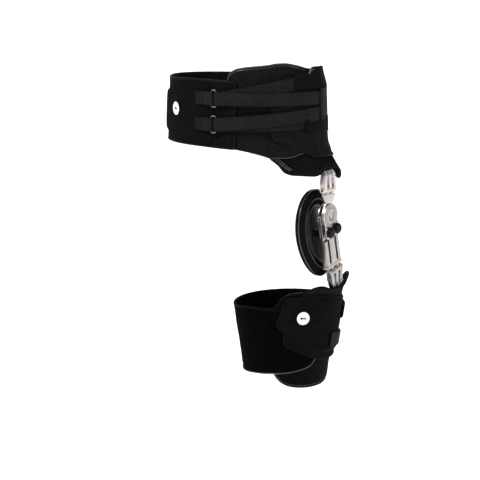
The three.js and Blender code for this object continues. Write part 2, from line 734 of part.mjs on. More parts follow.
// Oval pad: a soft dished cushion, a hard plate on its outer face and the stud that carries it
function makePad(arm) {
  const pad = new THREE.Group();
  pad.position.set(PAD_FACE, PAD.u, PAD.v);
  pad.rotation.set(PAD_TURN, 0, PAD_SWING);
  arm.add(pad);
  const recess = PAD_PLATE.thickness + GAP;
  const cushion = table(['inset', 'depth'], [
    [PAD.rim - GAP, -recess],
    [PAD.rim - 3, -0.5],
    [14, 1.5],
    [6, 0.5],
    [1.5, -3.5],
    [0, -6.5],
    [2, -10],
    [8, -12],
    [PAD.rim, -11],
  ]);
  const floor = { front: -recess, back: -9.5 };
  addPiece(pad, 'trochanter_pad', oval(PAD, cushion, floor), FABRIC);
  const dome = table(['inset', 'depth'], [
    [20, 0.9],
    [4, -0.2],
    [0, -1.2],
    [0, -PAD_PLATE.thickness],
  ]);
  const crown = PAD_PLATE.crown;
  const domed = oval(PAD_PLATE, dome, { front: crown, back: -PAD_PLATE.thickness });
  addPiece(pad, 'pad_plate', domed, GLOSSY_PLASTIC);
  const studEnd = BACK_BACK - PAD_FACE - 2 * GAP;
  addPiece(pad, 'pad_stud', rod(PAD_STUD_RADIUS, crown + GAP, studEnd, 'x'), BLACK_PLASTIC);
}

// Egg-shaped oval about the pad's axis: each row of its section lies an inset within the outer oval
function oval(size, section, middle) {
  const rows = [{ depth: middle.front }, ...section, { depth: middle.back }];
  const rim = (row) => (row.inset === undefined ? 0 : size.halfWidth - row.inset);
  const profile = rows.map((row) => new THREE.Vector2(rim(row), -row.depth));
  const lathe = new THREE.LatheGeometry(profile, ROUND_SIDES);
  lathe.rotateZ(Math.PI / 2);
  const position = lathe.attributes.position;
  for (let i = 0; i < position.count; i += 1) {
    const row = rows[i % rows.length];
    if (row.inset !== undefined) {
      const stretch = (size.halfHeight - row.inset) / (size.halfWidth - row.inset);
      const height = position.getZ(i) * stretch;
      position.setZ(i, height);
      position.setY(i, position.getY(i) * (1 + (size.taper * height) / size.halfHeight));
    }
  }
  return toGeometry(toSolid(lathe));
}

// Thigh cuff
function makeCuff() {
  const panelEdges = table(['angle', 'top', 'bottom'], [
    [-74, -338, -452],
    [-68.5, -329, -462],
    [-63, -316, -469],
    [-54, -306, -475],
    [-40, -303, -479],
    [-17, -302, -481],
    [0, -303, -481],
    [14, -305, -479],
    [30, -310, -470],
    [42, -316, -455],
    [62, -326, -440],
  ]);
  const thighPanel = wall(thighPoint, panelEdges, THIGH_PANEL_LAYER, 4, THIGH.straightTo);
  addPiece(brace, 'thigh_panel', thighPanel, LOOP_FABRIC);

  const pocketEdges = table(['angle', 'top', 'bottom'], [
    [-40, -303, -327],
    [-31, -298, -328],
    [-17, -294, -328],
    [-8, -299, -328],
    [6, -301, -328],
    [17, -300, -328],
    [20, -290, -328],
    [24, -282, -328],
    [29, -281, -328],
    [34, -289, -328],
    [40, -307, -328],
    [44, -314, -328],
  ]);
  const pocketSwell = (angle, z) => {
    const flare = angle > THIGH_BULGE.middle ? TIP_FLARE.slope * Math.max(0, z - TIP_FLARE.from) : 0;
    return thighBulge(angle, z) + flare;
  };
  const thighPocket = wall(thighPoint, pocketEdges, POCKET_LAYER, 3, TIP_FLARE.from, pocketSwell);
  addPiece(brace, 'thigh_pocket', thighPocket, FABRIC);

  const wrapEdges = table(['angle', 'top', 'bottom'], [
    [-300, -336, -444],
    [-220, -340, -458],
    [-160, -341, -462],
    [-128, -339.5, -461],
    [-95, -332.5, -455.5],
    [-75, -331.5, -453],
    [-57, -331, -450],
    [-42, -331, -446],
    [-27, -331, -440],
    [-19, -331, -433],
    [-16, -331, -428],
  ]);
  addPiece(brace, 'thigh_wrap', wall(thighPoint, wrapEdges, WRAP_LAYER, 3, THIGH.straightTo), FABRIC);

  const lowerFlapEdges = table(['angle', 'top', 'bottom'], [
    [-59.5, -378, -392],
    [-58, -374, -399],
    [-54, -370, -402],
    [-17, -366, -427],
    [0, -366, -432],
    [44, -366, -434],
  ]);
  const thighFlapLower = wall(thighPoint, lowerFlapEdges, LOWER_FLAP_LAYER, 2, THIGH.straightTo);
  addPiece(brace, 'thigh_flap_lower', thighFlapLower, FABRIC);

  const upperFlapEdges = table(['angle', 'top', 'bottom'], [
    [-66, -354, -360],
    [-64.5, -348, -365],
    [-57, -314, -374],
    [-53, -310.5, -379],
    [-35, -308, -403],
    [-20, -308, -411],
    [-9, -311, -415],
    [5, -316, -417],
    [20, -323, -419],
    [33, -327, -420],
    [46, -329, -421],
  ]);
  const thighFlapUpper = wall(thighPoint, upperFlapEdges, UPPER_FLAP_LAYER, 3, THIGH.straightTo, thighBulge);
  addPiece(brace, 'thigh_flap_upper', thighFlapUpper, FABRIC);
  addDisc('thigh_disc', thighPoint, THIGH_DISC, UPPER_FLAP_LAYER.outer + GAP);

  const upperLoopEdges = table(['angle', 'top', 'bottom'], [
    [26, -334, -365],
    [46, -334, -365],
  ]);
  const thighLoopUpper = wall(thighPoint, upperLoopEdges, LOOP_LAYER, 2, THIGH.straightTo, thighBulge);
  addPiece(brace, 'thigh_loop_upper', thighLoopUpper, WEBBING);
  const lowerLoopEdges = table(['angle', 'top', 'bottom'], [
    [-2, -380, -409],
    [33, -390, -416],
    [46, -393, -418],
  ]);
  const thighLoopLower = wall(thighPoint, lowerLoopEdges, LOOP_LAYER, 2, THIGH.straightTo);
  addPiece(brace, 'thigh_loop_lower', thighLoopLower, WEBBING);
}

makeBelt();
makeWebbing();
makeHipPanels();
makeUpperHinge();
makeLowerHinge();
makeCuff();

export default brace;
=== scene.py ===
"""Looks of the hip brace: cloth walls, webbing, machined hinge and thigh cuff, in metres.

Cloth is cut on the same waist and thigh forms as the solids, from tables in millimetres.
"""
import math

import bmesh
import bpy
import numpy as np
from mathutils import Matrix, Vector, noise
from mathutils.bvhtree import BVHTree


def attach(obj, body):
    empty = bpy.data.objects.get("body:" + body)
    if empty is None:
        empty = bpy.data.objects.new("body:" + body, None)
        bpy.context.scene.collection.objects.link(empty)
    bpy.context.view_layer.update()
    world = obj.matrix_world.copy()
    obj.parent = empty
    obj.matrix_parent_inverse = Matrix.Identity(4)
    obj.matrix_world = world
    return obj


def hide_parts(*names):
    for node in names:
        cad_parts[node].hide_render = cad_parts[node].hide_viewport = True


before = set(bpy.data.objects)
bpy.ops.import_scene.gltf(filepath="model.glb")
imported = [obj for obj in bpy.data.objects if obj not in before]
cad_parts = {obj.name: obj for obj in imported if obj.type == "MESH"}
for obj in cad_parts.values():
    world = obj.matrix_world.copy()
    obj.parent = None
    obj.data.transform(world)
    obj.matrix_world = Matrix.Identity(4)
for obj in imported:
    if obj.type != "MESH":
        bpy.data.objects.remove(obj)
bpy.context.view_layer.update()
MM = 0.001

# Bodies that carry the cloth
WAIST = "pelvic_belt"
CUFF = "thigh_cuff"

# Body forms, and the run round the waist for each degree
WAIST_HALF_WIDTH = 148
WAIST_HALF_DEPTH = 103.5
WAIST_FLARE = 0.04
PER_DEGREE = math.radians(WAIST_HALF_WIDTH)
THIGH_CENTRE = (75, 20)
THIGH_TOP_RADIUS = 91.5
THIGH_STRAIGHT_TO = -342
THIGH_TAPER = 0.145

# Cloth layers, inner and outer distance from the form
HIP_PANEL_LAYER = (-6, 0)
BELT_LAYER = (0.5, 4.4)
PATCH_LAYER = (4.9, 6.3)
SHELL_LAYER = (0.5, 2.5)
COVER_LAYER = (3.6, 5)
TAB_LAYER = (5.2, 7.3)
FRONT_LAYER = (5.5, 7.6)
BAND_LAYER = (6.8, 7.8)
THIGH_PANEL_LAYER = (-5, 0)
POCKET_LAYER = (0.5, 2.5)
WRAP_LAYER = (0.5, 3.5)
LOWER_FLAP_LAYER = (4, 6)
UPPER_FLAP_LAYER = (6.5, 8.5)
LOOP_LAYER = (8.8, 12.4)

# How far cloth leaves its layer
FRONT_LEAN = 7
REAR_TUCK = 6.4
TAB_LIFT = 2.9
PATCH_LIFT = 2.6
BAND_LIFT = 3.5
TIP_FLARE = 0.4
TIP_FLARE_FROM = -304
CUFF_BULGE = {"reach": 10.5, "start": -342, "end": -300, "power": 1}

# Cloth edges: how far a wall's rows and columns lie from its edges and seams, where they are close
EDGE_STEPS = np.array([0, 0.2, 0.6, 1.2, 1.9, 2.6, 3.2, 3.6, 4.1, 4.6, 5.3, 6.3, 7.8, 10, 13])
SEAM_STEPS = np.array([-1.6, -0.9, -0.4, 0, 0.4, 0.9, 1.6])
EDGE_ROOM = 2.4
CLOTH_STEP = 3.6
FINE_CLOTH_STEP = 1.8
OUTLINE_STEP = 1.5
LINE_STEP = 2.0
CLOSEST = 0.05
INSET_KEPT = 0.97
FORM_SAMPLES = 1500
TAPE_WIDTH = 3.6
TAPE_RISE = 0.35
SEAM_PINCH = 0.35
HEM_PINCH = 0.3

# Weaves in metres: width of a zigzag, height of a row and its slant, the fade of painted shade along a
# strap's edges and a tape's rib
KNIT_STITCH = (0.0012, 0.0011, 0.5)
HERRINGBONE = (0.003, 0.0013, 1.4)
STRAP_EDGE_SHADE = (0.0003, 0.0018)
TAPE_RIB = 0.0011

# Stitches: spacing, half length and half thickness
SEAM = (3.4, 1.15, 0.34)
FINE_SEAM = (2.8, 1.0, 0.28)
BOX_SEAM = (2.7, 1.0, 0.36)
STRAP_SEAM = (2.4, 0.8, 0.2)
LOOP_SEAM = (2.6, 0.95, 0.3)
STITCH_LIFT = 0.1

# Cloth runs that fill the padded pieces
FILLING_FRAMES = 20
FILLING_QUALITY = 4
TAPE_HOLD = 7.0

# Webbing and rings
STRAP_WIDTH = 24
TAB_WIDTH = 23
STRAP_THICKNESS = 1.4
STRAP_CUP = 0.25
STRAP_ACROSS = np.array([0, 0.25, 0.5, 0.75, 0.9, 0.955, 0.985, 1])
STRAP_FLAT = 0.94
STRAP_ROLL = 0.06
ROUTE_STEP = 1.5
RETURN_OFFSET = 7.6
RUN_OFFSET = 9.5
STRAP_START = -1
STRAP_TURN = -77
RETURN_START = -79
RING_OFFSET = 10.3
RING_PASS = 13
RING_WIRE = 1.5
RING_BARS = 8
RING_HEIGHT = 31
RING_BEND = 2.2
RING_ANGLE = -84.5
UPPER_RING_Z = 26
LOWER_RING_Z = -17

# Hinge: faces of its layers by X, then places and sizes in its plane, u to the front and v up
HINGE_FACE = 179
FRONT_BACK = 176
EYE_FACE = 175.5
EYE_BACK = 171.9
PIN_X = 173
TONGUE_FACE = 171.4
TONGUE_BACK = 167.4
BACK_FACE = 166.9
BACK_BACK = 163.9
DIAL_Y = -0.8
DIAL_Z = -172.3
UPPER_PIN_Z = -126
UPPER_PIN_V = 46.3
LOWER_PIN_V = -100
FLEXION = math.radians(13.5)
DIAL_RADIUS = 21.5
BACK_RADIUS = 20.5
DIAL_FACE_RADIUS = 19.4
DIAL_CORNER = 8
EYE_RADIUS = 20
BAR_HALF = 20.5
RAILS_TOP = -40
SLOT_SPREAD = 10.5
SLOT_RADIUS = 2.7
STUD_HOLE = 2.6
KNOB_V = -25.5
KNUCKLE = 6
FINGER_SPREAD = 15
FINGER_HALF = 4
BRACKET_HALF = 19
TONGUE_HALF = 13
CORNER_POINTS = 7

# Hip pad
PAD_PLACE_MM = (153, -4, -34)
PAD_TILT = math.radians(8)
PAD_TWIST = math.radians(7)
PAD_TAPER = 0.17
PAD_SIZE = (61, 79.5)
PAD_PLATE_SIZE = (37.5, 56)
PAD_SIDES = 132
PAD_ROWS = 84
PAD_RIM_SEAM = 1.5
PAD_BEAD = 15.6
PAD_PLATE_SEAT = 19

# Studio: camera, floor and lamps by direction, strength and spread in degrees
CAMERA_PLACE = Vector((1.3176, -1.7678, 0.2136))
CAMERA_TARGET = Vector((-0.00926, -0.00698, -0.235))
SENSOR = 36
LENS = 94.35
FLOOR_Z = -1.05
FLOOR_HALF = 150
AMBIENT = 0.48
LAMPS = {
    "key": ((-0.35, -0.55, 0.75), 3.0, 12),
    "side": ((0.9, -0.1, 0.35), 1.2, 24),
    "back": ((-0.5, 0.8, 0.6), 1.2, 40),
}


def smooth(low, high, value):
    t = np.clip((value - low) / (high - low), 0, 1)
    return t * t * (3 - 2 * t)


def waist_point(angle, z, offset):
    turn = np.radians(angle)
    spread = offset - WAIST_FLARE * z
    x = (WAIST_HALF_WIDTH + spread) * np.cos(turn)
    y = (WAIST_HALF_DEPTH + spread) * np.sin(turn)
    return np.stack([x, y, z + 0 * turn], -1)


def thigh_point(angle, z, offset):
    turn = np.radians(angle)
    radius = THIGH_TOP_RADIUS + THIGH_TAPER * np.minimum(0, z - THIGH_STRAIGHT_TO) + offset
    x = THIGH_CENTRE[0] + radius * np.cos(turn)
    y = THIGH_CENTRE[1] + radius * np.sin(turn)
    return np.stack([x, y, z + 0 * turn], -1)


def bulge(angle, z, reach, start, end, power, middle, full, fade):
    """Swelling that grows between two heights, full near a middle angle and fading beside it."""
    rise = np.clip((z - start) / (end - start), 0, 1)
    side = 1 - smooth(full, fade, np.abs(angle - middle))
    return reach * rise**power * side


def hip_bulge(angle, z):
    """Room for the upper bracket under the hip layers."""
    return bulge(angle, z, reach=28, start=-40, end=-96, power=1.4, middle=-1, full=13, fade=30)


def front_lean(angle, z):
    """Draws the hip layers in towards the waist at the top of the front."""
    return -FRONT_LEAN * smooth(38, 80, z) * smooth(-2, 14, angle) * (1 - smooth(46, 66, angle))


def rear_tuck(angle):
    """Pulls the rear edge of the outer hip layers down to the panel under them."""
    return -REAR_TUCK * (1 - smooth(-47.5, -34, angle))


def flap_bulge(angle, z):
    """Room for the pocket under the flaps."""
    return bulge(angle, z, **CUFF_BULGE, middle=2, full=10, fade=22)


def pocket_swell(angle, z):
    """Room for the lower bracket, with the flare of the pocket's tip."""
    flare = np.where(angle > 6, TIP_FLARE * np.maximum(0, z - TIP_FLARE_FROM), 0)
    return bulge(angle, z, **CUFF_BULGE, middle=6, full=12, fade=30) + flare


def read_table(angles, values, at):
    """Smooth curve through a table's rows that never overshoots them."""
    slope = np.diff(values) / np.diff(angles)
    tangent = np.concatenate([[slope[0]], np.zeros(len(slope) - 1), [slope[-1]]])
    before, after = slope[:-1], slope[1:]
    turning = before * after <= 0
    total = np.where(turning, 1, before + after)
    tangent[1:-1] = np.where(turning, 0, 2 * before * after / total)
    i = np.clip(np.searchsorted(angles, at, side="right") - 1, 0, len(slope) - 1)
    span = angles[i + 1] - angles[i]
    t = np.clip((at - angles[i]) / span, 0, 1)
    ease = t * t * (3 - 2 * t)
    lead = t * (1 - t) ** 2 * span * tangent[i]
    trail = t * t * (t - 1) * span * tangent[i + 1]
    return values[i] + (values[i + 1] - values[i]) * ease + lead + trail


def corner_drop(distance, radius):
    """How far a rounded corner falls below its edge, at a distance from the end."""
    inside = np.clip(radius - distance, 0, radius)
    return radius - np.sqrt(radius * radius - inside * inside)


def distance_to_line(points, line):
    """Distance of flat points from a polyline."""
    starts, steps = line[:-1], np.diff(line, axis=0)
    lengths = np.maximum((steps**2).sum(1), 1e-9)
    nearest = np.full(len(points), np.inf)
    for start, step, length in zip(starts, steps, lengths):
        away = points - start
        t = np.clip(away @ step / length, 0, 1)
        gap = away - t[:, None] * step
        nearest = np.minimum(nearest, (gap**2).sum(1))
    return np.sqrt(nearest)


def run_along(points):
    """Distance along a line of points, from its start to each of them."""
    return np.concatenate([[0], np.cumsum(np.linalg.norm(np.diff(points, axis=0), axis=1))])


class ClothWall:
    """Cloth cut to an outline on an unrolled form, with a thickness and soft edges.

    edges has the columns angle, top and bottom. corners are the radii of the outline's start
    top, start bottom, end top and end bottom. swell moves the wall out by angle and height, and
    relief raises its outer face by run, height and distance from the edge. lines are the angles
    of seams that need close columns.
    """

    def __init__(self, form, edges, layer, corners, swell=None, relief=None, lines=(), step=CLOTH_STEP):
        self.form = form
        self.edges = np.array(edges, float)
        self.inner, self.outer = layer
        self.corners = corners
        self.swell = swell
        self.relief = relief
        self.lines = lines
        self.step = step
        self.angles = np.linspace(self.edges[0, 0], self.edges[-1, 0], FORM_SAMPLES)
        level = np.full_like(self.angles, self.edges[:, 1:].mean())
        self.run = run_along(form(self.angles, level, self.outer))
        self.length = self.run[-1]

    def angle_at(self, run):
        return np.interp(run, self.run, self.angles)

    def run_at(self, angle):
        return np.interp(angle, self.angles, self.run)

    def heights(self, run):
        angle = self.angle_at(run)
        start_top, start_bottom, end_top, end_bottom = self.corners
        top = read_table(self.edges[:, 0], self.edges[:, 1], angle)
        bottom = read_table(self.edges[:, 0], self.edges[:, 2], angle)
        left = self.length - run
        top = top - corner_drop(run, start_top) - corner_drop(left, end_top)
        bottom = bottom + corner_drop(run, start_bottom) + corner_drop(left, end_bottom)
        return top, bottom

    def outline(self):
        run = np.linspace(0, self.length, int(self.length / OUTLINE_STEP) + 2)
        top, bottom = self.heights(run)
        low = np.stack([run, bottom], 1)
        high = np.stack([run, top], 1)[::-1]
        return np.concatenate([low, high, low[:1]])

    def inset(self, distance):
        """Closed line at a distance inside the outline, with the loops at tight corners left out."""
        outline = self.outline()
        apart = np.linalg.norm(np.diff(outline, axis=0), axis=1) > CLOSEST
        outline = outline[np.concatenate([[True], apart])]
        along = np.roll(outline[:-1], -1, 0) - np.roll(outline[:-1], 1, 0)
        along /= np.maximum(np.linalg.norm(along, axis=1, keepdims=True), 1e-9)
        line = outline[:-1] + distance * np.stack([-along[:, 1], along[:, 0]], 1)
        keep = distance_to_line(line, outline) > distance * INSET_KEPT
        return line[keep]

    def place(self, run, z):
        """Points on the outer face, in metres."""
        angle = self.angle_at(run)
        return self.form(angle, z, self.outer + self.swelling(angle, z)) * MM

    def swelling(self, angle, z):
        return self.swell(angle, z) if self.swell else 0

    def columns(self):
        count = max(3, int((self.length - 2 * EDGE_STEPS[-1]) / self.step))
        middle = np.linspace(EDGE_STEPS[-1], self.length - EDGE_STEPS[-1], count + 1)[1:-1]
        seams = [self.run_at(angle) + gap for angle in self.lines for gap in SEAM_STEPS]
        run = np.sort(np.concatenate([EDGE_STEPS, middle, seams, self.length - EDGE_STEPS[::-1]]))
        return run[np.concatenate([[True], np.diff(run) > CLOSEST])]

    def grid(self):
        run = self.columns()
        top, bottom = self.heights(run)
        height = top - bottom
        count = max(3, int(np.ceil((height.max() - 2 * EDGE_STEPS[-1]) / self.step)))
        near = EDGE_STEPS * np.minimum(1, height / (EDGE_ROOM * EDGE_STEPS[-1]))[:, None]
        low = bottom[:, None] + near
        high = top[:, None] - near[:, ::-1]
        share = np.linspace(0, 1, count + 1)[1:-1]
        middle = low[:, -1:] + (high[:, :1] - low[:, -1:]) * share
        z = np.concatenate([low, middle, high], 1)
        return np.repeat(run[:, None], z.shape[1], 1), z

    def mesh(self, name, material, roll=1.0):
        """Closed mesh of the wall with its run and height as UVs and its edge distance as an attribute."""
        run, z = self.grid()
        columns, rows = run.shape
        flat = np.stack([run.ravel(), z.ravel()], 1)
        edge = distance_to_line(flat, self.outline()).reshape(run.shape)
        angle = self.angle_at(run)
        half = (self.outer - self.inner) / 2
        rim = np.clip(edge / (roll * half), 0, 1)
        thick = half * np.sqrt(1 - (1 - rim) ** 2)
        border = np.ones(run.shape, bool)
        border[1:-1, 1:-1] = False
        thick[border] = 0
        middle = (self.inner + self.outer) / 2 + self.swelling(angle, z)
        raised = self.relief(run, z, edge) * rim if self.relief else 0
        outer = self.form(angle, z, middle + thick + raised)
        inner = self.form(angle, z, middle - thick)
        front = np.arange(columns * rows).reshape(columns, rows)
        back = front.copy()
        inside = (columns - 2, rows - 2)
        back[1:-1, 1:-1] = front.size + np.arange(inside[0] * inside[1]).reshape(inside)
        points = np.concatenate([outer.reshape(-1, 3), inner[1:-1, 1:-1].reshape(-1, 3)]) * MM
        quads = [grid_quads(front), grid_quads(back)[:, ::-1]]
        mesh = built_mesh(name, points, np.concatenate(quads).tolist())
        corner_uv = np.concatenate([flat, flat[~border.ravel()]]) * MM
        distance = np.concatenate([edge.ravel(), edge[~border]]) * MM
        return finish_mesh(mesh, name, material, corner_uv, distance)


def grid_quads(index):
    corners = [index[:-1, :-1], index[1:, :-1], index[1:, 1:], index[:-1, 1:]]
    return np.stack([corner.ravel() for corner in corners], 1)


def capped_tube(index):
    """Faces of a tube whose rows are rings of points, with both ends capped."""
    looped = np.concatenate([index, index[:, :1]], 1)
    return grid_quads(looped).tolist() + [index[0].tolist(), index[-1, ::-1].tolist()]


def link(piece):
    bpy.context.scene.collection.objects.link(piece)
    return piece


def built_mesh(name, points, faces):
    mesh = bpy.data.meshes.new(name)
    mesh.from_pydata(points.tolist(), [], faces)
    return mesh


def taken_from(name, shape):
    """Mesh of an edited shape, which is then let go."""
    mesh = bpy.data.meshes.new(name)
    shape.to_mesh(mesh)
    shape.free()
    return mesh


def finish_mesh(mesh, name, material, point_uv=None, edge=None):
    """Object of a mesh with smooth faces, and with the cloth's own map and edge distance if it has them."""
    mesh.polygons.foreach_set("use_smooth", np.ones(len(mesh.polygons), bool))
    if point_uv is not None:
        corner = np.zeros(len(mesh.loops), int)
        mesh.loops.foreach_get("vertex_index", corner)
        layer = mesh.uv_layers.new(name="weave")
        layer.data.foreach_set("uv", np.ascontiguousarray(point_uv[corner], np.float32).ravel())
    if edge is not None:
        mesh.attributes.new("edge", "FLOAT", "POINT").data.foreach_set("value", edge.astype(np.float32))
    mesh.update()
    mesh.materials.append(material)
    return link(bpy.data.objects.new(name, mesh))


class Finish:
    """A procedural material under construction."""

    def __init__(self, name, **sockets):
        self.material = bpy.data.materials.new(name)
        self.material.use_nodes = True
        self.tree = self.material.node_tree
        self.shader = self.tree.nodes["Principled BSDF"]
        for socket, value in sockets.items():
            self.feed(self.shader.inputs[socket.replace("_", " ")], value)

    def feed(self, socket, value):
        if isinstance(value, bpy.types.NodeSocket):
            self.tree.links.new(value, socket)
        else:
            socket.default_value = value

    def node(self, kind, inputs=None, **properties):
        made = self.tree.nodes.new(kind)
        for name, value in properties.items():
            setattr(made, name, value)
        for socket, value in (inputs or {}).items():
            self.feed(made.inputs[socket], value)
        return made

    def calc(self, operation, *values):
        return self.node("ShaderNodeMath", dict(enumerate(values)), operation=operation).outputs[0]

    def place(self):
        return self.node("ShaderNodeTexCoord").outputs["Object"]

    def attribute(self, name):
        return self.node("ShaderNodeAttribute", attribute_name=name).outputs["Fac"]

    def weighted(self, first, share, second, other):
        """Sum of two heights, each with its own weight."""
        return self.calc("MULTIPLY_ADD", first, share, self.calc("MULTIPLY", second, other))

    def grain(self, size, detail=3.0, rough=0.55, stretch=(1, 1, 1)):
        """Noise from 0 to 1 whose features have a size in metres."""
        spot = self.node("ShaderNodeMapping", {"Vector": self.place(), "Scale": stretch}).outputs[0]
        inputs = {"Vector": spot, "Scale": 1 / size, "Detail": detail, "Roughness": rough}
        return self.node("ShaderNodeTexNoise", inputs).outputs["Fac"]

    def chevron(self, across, along, slant):
        """Height of a slanted weave on the cloth's own map, from -1 to 1."""
        spot = self.node("ShaderNodeUVMap", uv_map="weave").outputs[0]
        parts = self.node("ShaderNodeSeparateXYZ", {0: spot}).outputs
        zigzag = self.calc("PINGPONG", self.calc("MULTIPLY", parts[0], 1 / across), 1.0)
        lean = self.calc("MULTIPLY", zigzag, slant * 2 * math.pi)
        return self.calc("SINE", self.calc("MULTIPLY_ADD", parts[1], 2 * math.pi / along, lean))

    def ramp(self, factor, *stops):
        made = self.node("ShaderNodeValToRGB", {0: factor})
        for point, (position, colour) in zip(list(made.color_ramp.elements), stops):
            point.position = position
            point.color = (*colour, 1)
        return made.outputs[0]

    def spread(self, factor, low, high, from_low=0.0, from_high=1.0):
        inputs = {"Value": factor, "From Min": from_low, "From Max": from_high, "To Min": low, "To Max": high}
        return self.node("ShaderNodeMapRange", inputs, interpolation_type="SMOOTHSTEP").outputs[0]

    def base(self, colour):
        self.feed(self.shader.inputs["Base Color"], colour)

    def colour(self, factor, dark, light):
        self.base(self.ramp(factor, (0.3, dark), (0.7, light)))

    def colour_over(self, share, body, colour):
        """Base colour that turns from a body's tones to one colour."""
        mix = self.node("ShaderNodeMix", {0: share, 6: body, 7: (*colour, 1)}, data_type="RGBA")
        self.base(mix.outputs[2])

    def roughness(self, factor, low, high):
        self.feed(self.shader.inputs["Roughness"], self.spread(factor, low, high))
        return self

    def bump(self, height, strength, distance):
        inputs = {"Strength": strength, "Distance": distance, "Height": height}
        socket = self.shader.inputs["Normal"]
        if socket.is_linked:
            inputs["Normal"] = socket.links[0].from_socket
        self.feed(socket, self.node("ShaderNodeBump", inputs).outputs[0])
        return self


def grey(value, cool=0.0):
    return (value * (1 - cool), value, value * (1 + cool))


def warm(value):
    """Bare metal with a faint warm tone."""
    return (value, value * 0.943, value * 0.922)


def black(value):
    """Dark cloth with a slightly cool tone."""
    return grey(value, 0.05)


def taped_cloth(cloth, body, height, tape_colour, body_rough, tape_rough):
    """Gives a cloth a narrow woven tape folded over its edge."""
    edge = cloth.attribute("edge")
    tape = cloth.spread(edge, 1, 0, (TAPE_WIDTH - 0.2) * MM, (TAPE_WIDTH + 0.2) * MM)
    ribs = cloth.calc("SINE", cloth.calc("MULTIPLY", edge, 2 * math.pi / TAPE_RIB))
    cloth.colour_over(tape, body, tape_colour)
    cloth.roughness(tape, body_rough, tape_rough)
    raised = cloth.calc("MULTIPLY", height, cloth.calc("SUBTRACT", 1.0, tape))
    return cloth.calc("MULTIPLY_ADD", ribs, cloth.calc("MULTIPLY", tape, 0.3), raised)


def knit_cloth(name, dark, light, taped=True, shine=0.03, tape=None):
    """Matt knitted face of the padded cloth."""
    cloth = Finish(name, Specular_IOR_Level=shine)
    stitches = cloth.chevron(*KNIT_STITCH)
    mottle = cloth.grain(0.016, 4, 0.6)
    lint = cloth.grain(0.0022, 3, 0.7)
    shade = cloth.weighted(lint, 0.62, mottle, 0.42)
    body = cloth.ramp(cloth.calc("MULTIPLY_ADD", stitches, 0.08, shade), (0.36, dark), (0.68, light))
    height = cloth.calc("MULTIPLY_ADD", stitches, 0.35, lint)
    if taped:
        both = taped_cloth(cloth, body, height, tape or light, 0.9, 0.6)
        return cloth.bump(both, 0.4, 0.0004).material
    cloth.base(body)
    cloth.roughness(mottle, 0.8, 0.95)
    return cloth.bump(height, 0.35, 0.0004).material


def loop_cloth(name, dark, light):
    """Brushed loop face that hooks hold on to: a dense short nap with lighter lint."""
    cloth = Finish(name, Specular_IOR_Level=0.03, Sheen_Weight=0.02, Sheen_Roughness=0.45)
    nap = cloth.grain(0.0024, 5, 0.75)
    drift = cloth.grain(0.02, 3, 0.55)
    body = cloth.ramp(cloth.weighted(nap, 0.78, drift, 0.24), (0.36, dark), (0.68, light))
    both = taped_cloth(cloth, body, nap, grey(0.005), 0.95, 0.5)
    return cloth.bump(both, 0.8, 0.0009).material


def webbing_cloth(name, dark, light):
    """Woven webbing: a fine herringbone, with painted shade darkening its edges."""
    cloth = Finish(name, Specular_IOR_Level=0.07, Sheen_Weight=0.012, Sheen_Roughness=0.4)
    weave = cloth.chevron(*HERRINGBONE)
    fluff = cloth.grain(0.0019, 3, 0.65)
    drift = cloth.grain(0.05, 2, 0.5)
    shade = cloth.weighted(fluff, 0.6, drift, 0.34)
    body = cloth.ramp(cloth.calc("MULTIPLY_ADD", weave, 0.08, shade), (0.34, dark), (0.64, light))
    # Painted shade: the webbing's edges turn nearly black, standing in for the shade between straps and along
    # their sides.
    cloth.colour_over(cloth.spread(cloth.attribute("edge"), 1, 0, *STRAP_EDGE_SHADE), body, black(0.001))
    cloth.roughness(drift, 0.68, 0.82)
    return cloth.bump(cloth.calc("MULTIPLY_ADD", fluff, 0.8, weave), 0.35, 0.0004).material


def piping_cloth(name, dark, light):
    """Coated piping with a soft shine."""
    cord = Finish(name, Specular_IOR_Level=0.45, Coat_Weight=0.5, Coat_Roughness=0.16)
    worn = cord.grain(0.006, 4, 0.6)
    cord.colour(worn, dark, light)
    cord.roughness(worn, 0.24, 0.4)
    return cord.bump(cord.grain(0.0008, 2), 0.25, 0.0002).material


def thread_finish(name):
    """Dull black thread with a fine twist."""
    thread = Finish(name, Specular_IOR_Level=0.1)
    twist = thread.grain(0.0006, 2)
    thread.colour(twist, grey(0.003), grey(0.009))
    return thread.roughness(twist, 0.6, 0.85).material


def blasted_aluminium(name, dark, light):
    """Satin aluminium: fine blasted grain, soft smudges and a faint warm tone."""
    metal = Finish(name, Metallic=1.0)
    smudge = metal.grain(0.012, 4, 0.6)
    grit = metal.grain(0.0005, 2, 0.6)
    drawn = metal.grain(0.0009, 3, 0.6, (1, 1, 0.12))
    metal.colour(smudge, dark, light)
    metal.roughness(metal.weighted(grit, 0.4, smudge, 0.6), 0.22, 0.42)
    metal.bump(grit, 0.12, 0.0001)
    return metal.bump(drawn, 0.06, 0.0002).material


def shaded_cut_aluminium(name):
    """The dial's metal, with painted shade in its cut marks and in the bores marked as cut."""
    metal = Finish(name, Metallic=1.0)
    # The cut attribute carries painted shade: dark brown where marks, grooves and bores are sunk.
    cut = metal.attribute("cut")
    face = metal.ramp(metal.grain(0.01, 4, 0.6), (0.3, warm(0.31)), (0.7, warm(0.42)))
    metal.colour_over(cut, face, (0.1, 0.075, 0.055))
    metal.roughness(cut, 0.3, 0.6)
    return metal.bump(metal.grain(0.0005, 2), 0.12, 0.0001).material


def plated_wire(name):
    """Dull plating, worn lighter in places."""
    metal = Finish(name, Metallic=1.0)
    worn = metal.grain(0.004, 4, 0.65)
    metal.colour(worn, grey(0.06), grey(0.15))
    metal.roughness(worn, 0.24, 0.45)
    return metal.bump(metal.grain(0.0008, 3), 0.15, 0.0002).material


def turned_brass(name):
    metal = Finish(name, Metallic=1.0)
    worn = metal.grain(0.002, 3, 0.6)
    metal.colour(worn, (0.62, 0.36, 0.08), (0.9, 0.62, 0.22))
    return metal.roughness(worn, 0.2, 0.36).material


